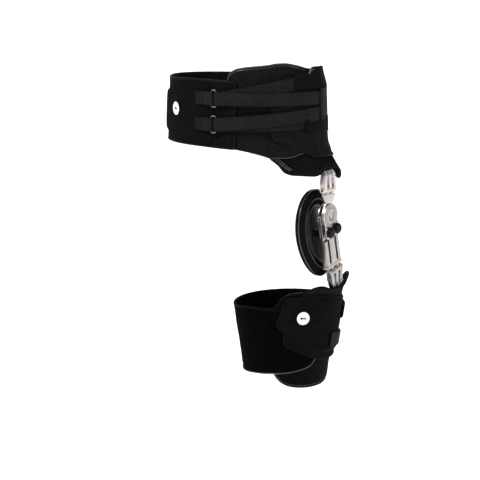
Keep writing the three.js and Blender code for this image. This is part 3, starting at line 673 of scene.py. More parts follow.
def moulded_plastic(name, dark, light, low, high, shine=0.5, grain=0.0006, depth=0.1):
    """Moulded plastic with a fine grain, between two tones and two roughnesses."""
    plastic = Finish(name, Specular_IOR_Level=shine)
    drift = plastic.grain(0.02, 3, 0.5)
    plastic.colour(drift, dark, light)
    plastic.roughness(drift, low, high)
    return plastic.bump(plastic.grain(grain, 2), depth, 0.0002).material


KNIT = knit_cloth("black_knit", black(0.0016), black(0.0062))
WRAP = knit_cloth("wrap_knit", black(0.0006), black(0.002), shine=0.015)
PATCH = knit_cloth("hook_patch_face", black(0.0016), black(0.0048), taped=False)
FLAP = knit_cloth("flap_knit", black(0.0016), black(0.0056), tape=black(0.0026))
FLAP_FOLD = knit_cloth("folded_knit", black(0.0022), black(0.007), taped=False)
CUSHION = knit_cloth("cushion_skin", black(0.0014), black(0.0036), taped=False, shine=0.06)
LOOP = loop_cloth("brushed_loop", black(0.0016), black(0.013))
POCKET = loop_cloth("pocket_loop", black(0.002), black(0.017))
PANEL = loop_cloth("panel_loop", black(0.0007), black(0.0048))
WEB = webbing_cloth("charcoal_webbing", black(0.002), black(0.016))
# Dark webbing whose cool bluish tint is painted sheen, standing in for the band's grazing reflection.
BAND = webbing_cloth("anchor_webbing", grey(0.003, 0.14), grey(0.0135, 0.14))
PIPING = piping_cloth("coated_piping", black(0.004), black(0.012))
# A lighter copy of the black piping: painted highlight for cords that catch the light.
HIGHLIGHT_PIPING = piping_cloth("piping_painted_highlight", black(0.012), black(0.08))
THREAD = thread_finish("seam_thread")
ALUMINIUM = blasted_aluminium("satin_aluminium", warm(0.42), warm(0.56))
BAR_METAL = blasted_aluminium("rubbed_aluminium", warm(0.34), warm(0.46))
CAST_METAL = blasted_aluminium("cast_aluminium", warm(0.52), warm(0.68))
SHADED_CUT_METAL = shaded_cut_aluminium("metal_with_painted_cut_shade")
WIRE = plated_wire("plated_wire")
BRASS = turned_brass("turned_brass")
KNOB_BLACK = moulded_plastic("knob_plastic", grey(0.0015), grey(0.003), 0.18, 0.26, 0.13)
PAD_BLACK = moulded_plastic("pad_plate_plastic", grey(0.004), grey(0.006), 0.2, 0.28, 0.15, 0.002, 0.03)
BADGE_WHITE = moulded_plastic("badge_white", grey(0.82), grey(0.9), 0.4, 0.55)
BADGE_BLACK = moulded_plastic("badge_black", grey(0.002), grey(0.004), 0.5, 0.65, 0.1)


# Geometry trees for what repeats along a seam or round a rim

def new_tree(name, **sizes):
    """Geometry tree with named inputs; gives the tree, a function that adds nodes, and its inputs."""
    tree = bpy.data.node_groups.new(name, "GeometryNodeTree")
    tree.interface.new_socket("Geometry", in_out="INPUT", socket_type="NodeSocketGeometry")
    tree.interface.new_socket("Geometry", in_out="OUTPUT", socket_type="NodeSocketGeometry")
    for label, kind in sizes.items():
        tree.interface.new_socket(label, in_out="INPUT", socket_type=f"NodeSocket{kind}")

    def add(kind, inputs=None, **properties):
        made = tree.nodes.new(kind)
        for key, value in properties.items():
            setattr(made, key, value)
        for socket, value in (inputs or {}).items():
            if isinstance(value, bpy.types.NodeSocket):
                tree.links.new(value, made.inputs[socket])
            else:
                made.inputs[socket].default_value = value
        return made.outputs

    return tree, add, add("NodeGroupInput")


def close_tree(tree, add, given, geometry):
    """Ends a tree in plain smooth geometry with the given material."""
    plain = add("GeometryNodeRealizeInstances", {"Geometry": geometry})["Geometry"]
    plain = add("GeometryNodeSetShadeSmooth", {"Geometry": plain})["Geometry"]
    dressed = add("GeometryNodeSetMaterial", {"Geometry": plain, "Material": given["Material"]})["Geometry"]
    add("NodeGroupOutput", {"Geometry": dressed})
    return tree


def stitch_tree():
    """Plump stitches in a row along each line."""
    sizes = {"Spacing": "Float", "Length": "Float", "Thread": "Float", "Material": "Material"}
    tree, add, given = new_tree("stitches", **sizes)
    line = add("GeometryNodeMeshToCurve", {"Mesh": given["Geometry"]})["Curve"]
    spots = add("GeometryNodeCurveToPoints", {"Curve": line, "Length": given["Spacing"]}, mode="LENGTH")
    turn = add("FunctionNodeAlignRotationToVector", {"Vector": spots["Tangent"]}, axis="Z")
    bead = add("GeometryNodeMeshUVSphere", {"Segments": 6, "Rings": 4, "Radius": 1.0})["Mesh"]
    size = add("ShaderNodeCombineXYZ", {0: given["Thread"], 1: given["Thread"], 2: given["Length"]})[0]
    inputs = {"Points": spots["Points"], "Instance": bead, "Rotation": turn["Rotation"], "Scale": size}
    return close_tree(tree, add, given, add("GeometryNodeInstanceOnPoints", inputs)["Instances"])


def piping_tree():
    """Round cord along each line."""
    tree, add, given = new_tree("piping", Radius="Float", Material="Material")
    line = add("GeometryNodeMeshToCurve", {"Mesh": given["Geometry"]})["Curve"]
    ring = add("GeometryNodeCurvePrimitiveCircle", {"Resolution": 10, "Radius": given["Radius"]})["Curve"]
    tube = add("GeometryNodeCurveToMesh", {"Curve": line, "Profile Curve": ring, "Fill Caps": True})["Mesh"]
    return close_tree(tree, add, given, tube)


def grip_tree():
    """Upright grip ribs at even steps round a circle."""
    sizes = {"Count": "Int", "Radius": "Float", "Rib": "Float", "Height": "Float", "Material": "Material"}
    tree, add, given = new_tree("grip_ribs", **sizes)
    circle = add("GeometryNodeCurvePrimitiveCircle", {"Resolution": 64, "Radius": given["Radius"]})["Curve"]
    spots = add("GeometryNodeCurveToPoints", {"Curve": circle, "Count": given["Count"]}, mode="COUNT")
    inputs = {"Vertices": 8, "Radius": given["Rib"], "Depth": given["Height"]}
    rib = add("GeometryNodeMeshCylinder", inputs)["Mesh"]
    ribs = add("GeometryNodeInstanceOnPoints", {"Points": spots["Points"], "Instance": rib})["Instances"]
    return close_tree(tree, add, given, ribs)


STITCHES = stitch_tree()
PIPED = piping_tree()
GRIP = grip_tree()


def grow(name, tree, lines, closed=False, **sizes):
    """Plain mesh of what a geometry tree makes along lines of points."""
    points, edges = [], []
    for line in lines:
        first = len(points)
        points += [tuple(point) for point in line]
        edges += [(i, i + 1) for i in range(first, len(points) - 1)]
        if closed:
            edges.append((len(points) - 1, first))
    mesh = bpy.data.meshes.new(name)
    mesh.from_pydata(points, edges, [])
    piece = link(bpy.data.objects.new(name, mesh))
    modifier = piece.modifiers.new("tree", "NODES")
    modifier.node_group = tree
    for socket in tree.interface.items_tree:
        if socket.in_out == "INPUT" and socket.name in sizes:
            modifier[socket.identifier] = sizes[socket.name]
    graph = bpy.context.evaluated_depsgraph_get()
    made = bpy.data.meshes.new_from_object(piece.evaluated_get(graph), depsgraph=graph)
    piece.modifiers.remove(modifier)
    piece.data = made
    made.name = name
    return piece


def stitched(name, lines, closed=False, stitch=SEAM):
    spacing, length, thread = (size * MM for size in stitch)
    return grow(name, STITCHES, lines, closed, Spacing=spacing, Length=length, Thread=thread, Material=THREAD)


def piped(name, lines, radius, material=PIPING, closed=False):
    return grow(name, PIPED, lines, closed, Radius=radius * MM, Material=material)


def on_cloth(piece, points, lift):
    """Points set down on a piece's surface and lifted off it by a small height in millimetres."""
    tree = BVHTree.FromObject(piece, bpy.context.evaluated_depsgraph_get())
    placed = []
    for point in points:
        spot, normal, _, _ = tree.find_nearest(Vector(point))
        placed.append(spot + normal * lift * MM)
    return placed


def puff(piece, pressure, cap, hold=TAPE_HOLD):
    """Fills a padded piece: a short cloth run under pressure, with its taped edge held."""
    mesh = piece.data
    rest = np.zeros(len(mesh.vertices) * 3, np.float32)
    edge = np.zeros(len(mesh.vertices), np.float32)
    mesh.vertices.foreach_get("co", rest)
    mesh.attributes["edge"].data.foreach_get("value", edge)
    held = piece.vertex_groups.new(name="taped")
    held.add([int(i) for i in np.nonzero(edge < hold * MM)[0]], 1.0, "REPLACE")
    filling = piece.modifiers.new("filling", "CLOTH")
    filling.settings.vertex_group_mass = held.name
    filling.settings.use_pressure = True
    filling.settings.uniform_pressure_force = pressure
    filling.settings.effector_weights.gravity = 0
    filling.settings.quality = FILLING_QUALITY
    filling.collision_settings.use_collision = False
    scene = bpy.context.scene
    for number in range(1, FILLING_FRAMES + 1):
        scene.frame_set(number)
    graph = bpy.context.evaluated_depsgraph_get()
    filled = np.zeros_like(rest)
    piece.evaluated_get(graph).data.vertices.foreach_get("co", filled)
    step = (filled - rest).reshape(-1, 3)
    size = np.linalg.norm(step, axis=1, keepdims=True)
    step *= np.minimum(1, cap * MM / np.maximum(size, 1e-9))
    piece.modifiers.remove(filling)
    piece.vertex_groups.remove(held)
    scene.frame_set(1)
    mesh.vertices.foreach_set("co", (rest + step.ravel()).astype(np.float32))
    mesh.update()
    return piece


def webbing_strip(name, route, width):
    """Upright strap along a route in millimetres, with rolled edges; its map runs across and along it."""
    across = np.concatenate([-STRAP_ACROSS[:0:-1], STRAP_ACROSS])
    rolled = np.clip((np.abs(across) - STRAP_FLAT) / STRAP_ROLL, 0, 1)
    depth = np.sqrt(1 - rolled**2) * STRAP_THICKNESS / 2
    bow = STRAP_CUP * across**4
    side = np.concatenate([across, across[-2:0:-1]])
    face = np.concatenate([depth + bow, (bow - depth)[-2:0:-1]])
    along = np.gradient(route, axis=0)
    along[:, 2] = 0
    along /= np.linalg.norm(along, axis=1, keepdims=True)
    outward = np.stack([along[:, 1], -along[:, 0], 0 * along[:, 0]], 1)
    rise = np.array([0, 0, width / 2])
    rings = route[:, None] + face[None, :, None] * outward[:, None] + side[None, :, None] * rise
    count = len(side)
    index = np.arange(len(route) * count).reshape(len(route), count)
    mesh = built_mesh(name, rings.reshape(-1, 3) * MM, capped_tube(index))
    uv = np.stack([np.tile((side + 1) * width / 2, len(route)), np.repeat(run_along(route), count)], 1) * MM
    edge = np.tile((1 - np.abs(side)) * width / 2, len(route)) * MM
    return turn_outwards(finish_mesh(mesh, name, WEB, uv, edge))


def turn_outwards(piece):
    shape = bmesh.new()
    shape.from_mesh(piece.data)
    bmesh.ops.recalc_face_normals(shape, faces=shape.faces)
    shape.to_mesh(piece.data)
    shape.free()
    return piece


def smooth_route(points, step):
    """Even points along a smooth curve through a route."""
    points = np.array(points, float)
    run = run_along(points)
    at_run = np.linspace(0, run[-1], max(2, int(run[-1] / step)) + 1)
    return np.stack([read_table(run, points[:, i], at_run) for i in range(3)], 1)


def settle(pieces, body, replaced=()):
    """Pieces ride on a body, and the replaced nodes are hidden."""
    for piece in pieces:
        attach(piece, body)
    if replaced:
        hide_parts(*replaced)


def set_stage():
    """Camera at the photograph's angle, pale floor at foot level and soft studio light."""
    camera = bpy.data.objects.new("camera", bpy.data.cameras.new("camera"))
    camera.data.sensor_width = SENSOR
    camera.data.lens = LENS
    camera.location = CAMERA_PLACE
    camera.rotation_euler = (CAMERA_TARGET - CAMERA_PLACE).to_track_quat("-Z", "Y").to_euler()
    bpy.context.scene.camera = link(camera)

    pale = Finish("pale_floor", Roughness=0.9, Specular_IOR_Level=0.0)
    pale.colour(pale.grain(0.9, 2), grey(0.93), grey(0.96))
    shape = bmesh.new()
    bmesh.ops.create_grid(shape, x_segments=4, y_segments=4, size=FLOOR_HALF)
    bmesh.ops.translate(shape, verts=shape.verts, vec=(0, 0, FLOOR_Z))
    mesh = taken_from("floor", shape)
    mesh.materials.append(pale.material)
    link(bpy.data.objects.new("floor", mesh))

    world = bpy.data.worlds.new("studio")
    world.use_nodes = True
    sky = world.node_tree.nodes["Background"].inputs
    sky["Color"].default_value = (1, 1, 1, 1)
    sky["Strength"].default_value = AMBIENT
    bpy.context.scene.world = world
    for name, (direction, strength, spread) in LAMPS.items():
        lamp = bpy.data.lights.new(name, "SUN")
        lamp.energy = strength
        lamp.angle = math.radians(spread)
        sun = link(bpy.data.objects.new(name, lamp))
        sun.rotation_euler = Vector(direction).to_track_quat("Z", "Y").to_euler()
    bpy.context.scene.view_settings.view_transform = "Standard"


# Cloth

def tape_step(edge, height=TAPE_RISE):
    """Raised tape along an edge, with the pinch of its seam beside it."""
    raised = height * (1 - smooth(TAPE_WIDTH - 0.25, TAPE_WIDTH + 0.25, edge))
    return raised - SEAM_PINCH * np.exp(-(((edge - TAPE_WIDTH - 0.8) / 0.6) ** 2))


def waves(run, z, size, height, seed):
    """Gentle uneven waves of worn cloth."""
    spots = zip(run.ravel() / size, z.ravel() / size)
    rise = [noise.noise((a, b, seed)) + 0.5 * noise.noise((2.3 * a, 2.3 * b, seed + 7)) for a, b in spots]
    return height * np.array(rise).reshape(run.shape)


def taped(size, height, seed):
    """Relief of a taped wall whose middle waves a little."""
    def relief(run, z, edge):
        return tape_step(edge) + waves(run, z, size, height, seed) * smooth(6, 16, edge)
    return relief


def hemmed(size, height, seed, inset):
    """Relief of a wall whose edge is only turned and sewn."""
    def relief(run, z, edge):
        pinch = HEM_PINCH * np.exp(-(((edge - inset) / 0.8) ** 2))
        return waves(run, z, size, height, seed) * smooth(3, 14, edge) - pinch
    return relief


def wall_line(wall, spots):
    """Smooth line of run and height through spots given as angle and height."""
    route = [(wall.run_at(angle), z, 0) for angle, z in spots]
    return smooth_route(route, LINE_STEP)[:, :2]


def edge_line(wall, start, end, side, inset):
    """Line beside a wall's top or bottom edge, between two angles."""
    run = np.linspace(wall.run_at(start), wall.run_at(end), max(4, int(abs(end - start) * 1.6)))
    top, bottom = wall.heights(run)
    return np.stack([run, top - inset if side == "top" else bottom + inset], 1)


def laid(piece, wall, lines, lift):
    """Lines of run and height set down on a wall's piece."""
    return [on_cloth(piece, wall.place(line[:, 0], line[:, 1]), lift) for line in lines]


def sewn(name, piece, wall, *lines):
    return stitched(name, laid(piece, wall, lines, STITCH_LIFT))


def sewn_edge(name, piece, wall, inset, stitch=SEAM):
    """Stitches all round a wall, at a distance from its edge."""
    return stitched(name, laid(piece, wall, [wall.inset(inset)], STITCH_LIFT), True, stitch)


def flat_cut(wall):
    """Width, length and area of a wall's flat cut, in metres."""
    outline = wall.outline()
    x, y = outline[:, 0], outline[:, 1]
    area = abs(np.sum(x[:-1] * y[1:] - x[1:] * y[:-1])) / 2
    return (np.ptp(y) * MM, np.ptp(x) * MM), area * MM * MM


def lay_sheet(wall):
    flat, area = flat_cut(wall)


def make_belt():
    edges = [[-290, 55, -55], [-180, 57, -57], [-140, 56, -57], [-100, 57.5, -57], [-70, 55.5, -59]]
    worn = taped(38, 0.5, 3.1)

    def relief(run, z, edge):
        away = wall.length - run
        folds = np.sin(away * 2 * math.pi / 15 + z / 17) * np.exp(-(((away - 14) / 13) ** 2))
        return worn(run, z, edge) + 1.5 * folds * smooth(-14, -34, z) * smooth(0, 5, edge)

    wall = ClothWall(waist_point, edges, BELT_LAYER, (5, 5, 5, 5), relief=relief)
    belt = puff(wall.mesh("belt", KNIT), pressure=3.0, cap=0.8)
    seam = sewn_edge("belt_seam", belt, wall, 2.7)
    settle([belt, seam], WAIST, ["waist_belt"])


def make_hook_patch():
    edges = [[-146, 24, -26], [-142, 31, -33], [-135, 37, -40], [-124, 45, -46], [-112, 50, -50],
             [-100, 52, -52], [-92, 51, -52], [-88, 47, -50], [-85.5, 38, -44]]

    def lifted_end(angle, z):
        return PATCH_LIFT * (1 - smooth(-143, -128, angle))

    relief = hemmed(45, 0.25, 5.4, 3.2)
    wall = ClothWall(waist_point, edges, PATCH_LAYER, (9, 9, 12, 12), lifted_end, relief)
    patch = wall.mesh("hook_patch", PATCH, roll=1.6)
    seam = sewn_edge("hook_patch_seam", patch, wall, 3.2, FINE_SEAM)
    settle([patch, seam], WAIST, ["belt_patch"])
    lay_sheet(wall)


def standing(form, angle, z, offset):
    """A place on a form, in millimetres, and the level direction along the form there."""
    foot = form(angle, z, offset)
    along = Vector(form(angle + 1.0, z, offset) - foot).normalized()
    return Vector(foot), along


def make_badge(prefix, form, angle, z, offset, body, node):
    """White numbered badge with a black rim."""
    foot, along = standing(form, angle, z, offset)
    outward = Vector((along.y, -along.x, 0))
    place = Matrix((along, Vector((0, 0, 1)), outward)).transposed().to_4x4()
    place.translation = foot * MM

    def disc(name, profile, material):
        shape = turned_mesh(name, profile, 64)
        shape.transform(place)
        return finish_mesh(shape, name, material)

    lip = [(11.3, 0), (12.7, 0), (12.9, 0.4), (12.7, 0.95), (12.1, 1.25), (11.5, 1.2), (11.2, 1.0), (11.3, 0)]
    rim = disc(f"{prefix}_rim", lip, BADGE_BLACK)
    dome = [(0, 1.25), (6, 1.23), (10.9, 1.15), (11.4, 1.0), (11.5, 0.2), (0, 0.2)]
    face = disc(f"{prefix}_face", dome, BADGE_WHITE)
    stem = [(-1.1, -5.4), (1.1, -5.4), (1.1, 5.4), (-0.5, 5.4), (-3.6, 2.9), (-2.5, 1.5), (-1.1, 2.5)]
    upright = place @ Matrix.Rotation(math.radians(80), 4, "Z")
    figure = machined([stem], 1.0, 1.5, upright, Matrix.Identity(4), 0.08)
    numeral = gathered(f"{prefix}_numeral", [figure], BADGE_BLACK)
    settle([face, rim, numeral], body, [node])


def turned_mesh(name, profile, sides):
    """Closed round mesh from a profile of radius and height, in millimetres."""
    shape = bmesh.new()
    turns = [2 * math.pi * i / sides for i in range(sides)]
    rings = []
    for radius, height in profile:
        if radius == 0:
            rings.append([shape.verts.new((0, 0, height * MM))])
        else:
            reach = radius * MM
            spots = [(reach * math.cos(t), reach * math.sin(t), height * MM) for t in turns]
            rings.append([shape.verts.new(spot) for spot in spots])
    for ring, after in zip(rings, rings[1:]):
        for i in range(sides):
            j = (i + 1) % sides
            corners = [ring[i % len(ring)], ring[j % len(ring)], after[j % len(after)], after[i % len(after)]]
            shape.faces.new(list(dict.fromkeys(corners)))
    bmesh.ops.remove_doubles(shape, verts=shape.verts, dist=1e-6)
    bmesh.ops.recalc_face_normals(shape, faces=shape.faces)
    return taken_from(name, shape)


# Webbing and rings

def turn_round(bar_angle, away, z):
    """Half-turn of webbing round an upright bar, from outside it to inside it."""
    reach = RING_PASS - RING_OFFSET
    places = []
    for t in np.linspace(0, math.pi, 9):
        angle = bar_angle + away * reach * math.sin(t) / PER_DEGREE
        places.append((angle, z, RING_OFFSET + reach * math.cos(t)))
    return places


def strap_run(start, end, offset):
    """Even run of a strap between two places given as angle and height."""
    count = max(2, int(abs(end[0] - start[0]) / 4))
    return [(*np.array(start) + (np.array(end) - start) * i / count, offset) for i in range(count + 1)]


def waist_route(places):
    angle, z, offset = np.array(places, float).T
    return smooth_route(waist_point(angle, z, offset), ROUTE_STEP)


def make_ring(name, z, node):
    foot, along = standing(waist_point, RING_ANGLE, z, RING_OFFSET)
    half = RING_BARS / 2 - RING_BEND
    rise = (RING_HEIGHT - 2 * RING_WIRE) / 2 - RING_BEND
    line = []
    for i, (side, up) in enumerate(((1, 1), (-1, 1), (-1, -1), (1, -1))):
        for turn in np.linspace(i, i + 1, 7) * math.pi / 2:
            u = side * half + RING_BEND * math.cos(turn)
            v = up * rise + RING_BEND * math.sin(turn)
            line.append((foot + along * u + Vector((0, 0, v))) * MM)
    settle([piped(name, [line], RING_WIRE, WIRE, closed=True)], WAIST, [node])


def box_stitches(name, piece, angles, low, high, offset):
    """Rectangle of stitches on webbing, between two angles and two heights."""
    left, right = angles
    corners = [(left, low), (right, low), (right, high), (left, high), (left, low)]
    line = []
    for (a, z), (b, y) in zip(corners, corners[1:]):
        for share in np.linspace(0, 1, 12)[:-1]:
            line.append(waist_point(a + (b - a) * share, z + (y - z) * share, offset) * MM)
    return stitched(name, [on_cloth(piece, line, 0.12)], True, BOX_SEAM)


def lay_strip(strip, seam, node):
    """A strip of webbing and its seam, riding on the belt."""
    settle([strip, seam], WAIST, [node])


def make_pull_tab(name, z, node):
    bar = RING_ANGLE - RING_BARS / 2 / PER_DEGREE
    outer = [(angle, z, RUN_OFFSET) for angle in (-99, -96, -92)]
    inner = [(angle, z, RETURN_OFFSET) for angle in (-92, -96, -99)]
    round_bar = [(-89.5, z, RING_PASS - 0.5), *turn_round(bar, 1, z), (-89.5, z, RETURN_OFFSET)]
    route = waist_route([*outer, *round_bar, *inner])
    tab = webbing_strip(name, route, TAB_WIDTH)
    seam = box_stitches(f"{name}_seam", tab, (-98.2, -92.6), z - 8.8, z + 8.8, RUN_OFFSET + 0.8)
    lay_strip(tab, seam, node)


def make_strap(name, z, front, ends, returned, node):
    """Strap from the front seam, round its ring and back to a tab."""
    bar = RING_ANGLE + RING_BARS / 2 / PER_DEGREE
    first, last = (STRAP_START, front), (STRAP_TURN, ends[0])
    route = waist_route([
        *strap_run(first, last, RUN_OFFSET),
        *turn_round(bar, -1, z),
        *strap_run((RETURN_START, ends[1]), returned, RETURN_OFFSET),
    ])
    strap = webbing_strip(name, route, STRAP_WIDTH)
    angle, height, offset = np.array(strap_run(first, last, RUN_OFFSET + 0.8)).T
    lines = [on_cloth(strap, waist_point(angle, height + rise, offset) * MM, 0.05) for rise in (-9.6, 9.6)]
    seam = stitched(f"{name}_seam", lines, stitch=STRAP_SEAM)
    lay_strip(strap, seam, node)


def make_webbing():
    upper, lower = UPPER_RING_Z, LOWER_RING_Z
    make_ring("ring_upper_wire", upper, "ring_upper")
    make_ring("ring_lower_wire", lower, "ring_lower")
    make_pull_tab("upper_tab", upper, "pull_tab_upper")
    make_pull_tab("lower_tab", lower, "pull_tab_lower")
    make_strap("upper_strap", upper, 28, (upper, upper + 1), (-25, 54), "strap_upper")
    make_strap("lower_strap", lower, 3.4, (lower + 1, lower), (-17, -12), "strap_lower")


# Hip and front panels

def make_hip_panel():
    edges = [[-77, 56, -57], [-75, 69, -58], [-68, 77.5, -60], [-47, 83, -71], [-40, 85.5, -83],
             [-34, 86, -97], [-24, 83, -100.5], [-12, 77, -100.5], [6, 74, -96], [24, 72, -96], [50, 68, -60]]
    wall = ClothWall(waist_point, edges, HIP_PANEL_LAYER, (0, 4, 8, 8), front_lean, taped(34, 0.7, 11.2))
    panel = puff(wall.mesh("hip_pad", LOOP), pressure=4.0, cap=1.3)
    arch = edge_line(wall, -76.6, 48, "top", 1.2)
    inner = edge_line(wall, -75.5, 48, "top", 4.6)
    low = edge_line(wall, -60, -18, "bottom", 1.2)
    trims = [
        piped("hip_pad_piping", laid(panel, wall, [arch, low], 0.3), 1.3),
        piped("hip_pad_bead", laid(panel, wall, [inner], 0.15), 0.7),
        sewn_edge("hip_pad_seam", panel, wall, 2.9),
    ]
    settle([panel, *trims], WAIST, ["hip_panel"])


def make_hip_shell():
    edges = [[-46, -50, -73], [-40, -50, -83], [-34, -50, -97], [-28, -50, -100.5], [-22, -50, -100.5],
             [-18, -50, -100.5], [-13, -50, -97], [-9, -50, -91], [6, -50, -91], [11, -50, -96],
             [15, -50, -109], [18, -50, -113], [20.5, -50, -109.5], [24, -50, -100], [45, -50, -66]]

    def swell(angle, z):
        return hip_bulge(angle, z) + rear_tuck(angle) * smooth(-77, -71, z)

    wall = ClothWall(waist_point, edges, SHELL_LAYER, (2, 2, 2, 2), swell, taped(28, 0.5, 21.7))
    shell = wall.mesh("hip_shell_cloth", KNIT, roll=1.4)
    rim = edge_line(wall, -45.5, 44.5, "bottom", 0.8)
    fold = wall_line(wall, [(-45.3, -68), (-40, -76), (-35, -86), (-31, -92)])
    second = fold + np.array([3.6, 1.4])
    trims = [
        piped("hip_shell_piping", laid(shell, wall, [rim], 0.2), 0.7, FLAP_FOLD),
        # The shell's double fold cords take the lighter piping: painted highlight.
        piped("hip_shell_fold", laid(shell, wall, [fold, second], 0.3), 0.55, HIGHLIGHT_PIPING),
        sewn("hip_shell_seam", shell, wall, edge_line(wall, -44, 43, "bottom", 2.8)),
    ]
    settle([shell, *trims], WAIST, ["hip_shell"])
    lay_sheet(wall)


def make_side_cover():
    edges = [[-46, 48, -71], [-40, 52, -71], [-34, 54, -70.5], [-28, 54, -68.5], [-22, 54, -64],
             [-18, 54, -66], [-13, 54, -70], [-9, 54, -71], [7, 54, -72], [12, 54, -71], [25, 54, -68],
             [45, 54, -58]]
    lip = np.array([[-45.8, -26], [-45.3, -33.5], [-44.2, -39.5], [-42.2, -43.5], [-40.5, -45], [-38.5, -46]])
    highlight_end = -21.5
    seams = (-13.5, -10.2)

    def above_lip(angle, z):
        return smooth(-2, 2, z - read_table(lip[:, 0], lip[:, 1], np.clip(angle, lip[0, 0], lip[-1, 0])))

    def swell(angle, z):
        pressed = 2.8 * smooth(-2, 10, angle) * smooth(-38, -26, z)
        tucked = rear_tuck(angle) * (1 - above_lip(angle, z))
        return hip_bulge(angle, z) + front_lean(angle, z) + tucked - pressed

    def relief(run, z, edge):
        grooves = sum(np.exp(-(((run - wall.run_at(angle)) / 0.7) ** 2)) for angle in seams)
        drag = 1.1 * waves(run * 0.35 + z, z - run * 0.35, 26, 1.0, 31.3) * smooth(-20, -50, z)
        away = distance_to_line(np.stack([run.ravel(), z.ravel()], 1), fold).reshape(run.shape)
        ridge = 2.4 * np.exp(-(((away - 3.5) / 3) ** 2)) * above_lip(wall.angle_at(run), z)
        return tape_step(edge, 0.2) - 0.45 * grooves + drag * smooth(2, 12, edge) + ridge

    wall = ClothWall(waist_point, edges, COVER_LAYER, (6, 3, 3, 3), swell, relief, seams, FINE_CLOTH_STEP)
    fold = wall_line(wall, lip)
    cover = wall.mesh("side_cover_cloth", LOOP, roll=1.6)
    # The bottom cord is one piping, split where its highlight ends: glossy piping before, darker matte knit
    # after, as painted shade on the rest of the cord.
    bright = edge_line(wall, -45.6, highlight_end, "bottom", 0.7)
    dull = edge_line(wall, highlight_end, 44, "bottom", 0.7)
    rows = [angle + gap for angle in seams for gap in (-0.45, 0.45)]
    lines = [wall_line(wall, [(angle, z) for z in (-26, -48, -66)]) for angle in rows]
    trims = [
        piped("side_cover_piping", laid(cover, wall, [bright], 0.25), 1.0),
        # Near-black cord along the lip's base: a painted shadow line under the lip.
        piped("side_cover_shadow_cord", laid(cover, wall, [fold], 0.1), 0.9, WRAP),
        piped("side_cover_shaded_piping", laid(cover, wall, [dull], 0.25), 0.8, FLAP_FOLD),
        sewn("side_cover_seams", cover, wall, *lines),
    ]
    settle([cover, *trims], WAIST, ["side_cover"])
    lay_sheet(wall)


def leaning(angle, z):
    """Draws the front layers in against the hip."""
    pressed = 2.6 * smooth(-2, 12, angle) * (1 - smooth(40, 58, angle))
    return front_lean(angle, z) - pressed


def make_front_wing():
    edges = [[-3, 78.8, -23], [3, 78.6, -27], [10, 78, -30], [20, 77, -31], [27, 75, -32], [36, 73.6, -33],
             [42, 72.6, -35], [70, 66, -44], [106, 58, -50], [112, 56, -48]]

    def under_tabs(angle, z):
        return leaning(angle, z) - 1.8 * (1 - smooth(38, 46, angle))

    wall = ClothWall(waist_point, edges, FRONT_LAYER, (9, 5, 10, 10), under_tabs, taped(40, 0.5, 41.9))
    panel = wall.mesh("front_wing", KNIT, roll=1.4)
    trims = [
        piped("front_wing_piping", laid(panel, wall, [wall.inset(0.8)], 0.2), 0.8, FLAP_FOLD, closed=True),
        sewn_edge("front_wing_seam", panel, wall, 2.8),
    ]
    settle([panel, *trims], WAIST, ["front_panel"])
    lay_sheet(wall)


def front_tab(name, edges, corners, tip, root, lines=()):
    """Tab of the front wing that lies over the straps' ends and lifts from its root to its tip."""
    def lifted(angle, z):
        over_wing = 1.3 * smooth(-6.5, -3, angle) + leaning(angle, z)
        return TAB_LIFT * (1 - smooth(tip, root, angle)) + over_wing

    wall = ClothWall(waist_point, edges, TAB_LAYER, corners, lifted, hemmed(20, 0.3, 51.5, 3.2), lines)
    tab = wall.mesh(name, FLAP_FOLD, roll=1.5)
    return wall, tab, sewn_edge(f"{name}_seam", tab, wall, 3.2, FINE_SEAM)


def make_front_tabs():
    low = 41.7
    edges = [[-28, 69.5, low], [-15.5, 69.8, low], [-13.8, 71, low], [-12.6, 74.5, low], [-11.2, 78, low],
             [-9.6, 79.7, low], [2, 80, low], [10, 79.3, low], [20, 78, low], [27, 76.2, low],
             [36, 74.8, low], [41, 73.8, low]]
    folds = (-14.4, -13.2, -12, -10.8)
    wall, tab, seam = front_tab("front_tab_top", edges, (8, 6, 4, 2), -23, -15, folds)
    shoulders = [edge_line(wall, -14.6, -9.2, "top", 0.8), edge_line(wall, -13.2, -7.8, "top", 4.8)]
    # The shoulder cords take the lighter piping: painted highlight.
    piping = piped("front_shoulder_piping", laid(tab, wall, shoulders, 0.25), 0.65, HIGHLIGHT_PIPING)
    settle([tab, seam, piping], WAIST)
    lay_sheet(wall)

    high = -6
    edges = [[-20, high, -28.5], [-16, high, -30], [-12, high, -28], [-8.5, high, -24.8], [-5.8, high, -23.2],
             [-2.2, high, -25.5], [3, high, -29.2], [10, high, -31.5], [20, high, -32.5], [36, high, -34.2],
             [41, high, -35]]
    wall, tab, seam = front_tab("front_tab_low", edges, (2, 7, 2, 4), -16, -9)
    hem = edge_line(wall, -19.4, 20, "bottom", 0.7)
    # Lighter loop-cloth cord along the tab's lower edge: a painted highlight line on the edge.
    piping = piped("front_tab_low_highlight_cord", laid(tab, wall, [hem], 0.2), 0.5, POCKET)
    settle([tab, seam, piping], WAIST, ["front_tab_lower"])
    lay_sheet(wall)


def make_front_band():
    def over_straps(angle, z):
        return BAND_LIFT * (1 - smooth(2, 9, angle)) + leaning(angle, z)

    wall = ClothWall(waist_point, [[-3.6, 44, -9], [41, 44, -9]], BAND_LAYER, (1, 1, 1, 1), over_straps)
    band = wall.mesh("front_band", BAND, roll=1.6)
    seam = sewn("front_band_seam", band, wall, wall_line(wall, [(-2.6, -7), (-2.6, 20), (-2.6, 42)]))
    settle([band, seam], WAIST)
    lay_sheet(wall)


# Hinge. Plates are outlined in its plane, and a bracket's ribs in the plane across its pin.

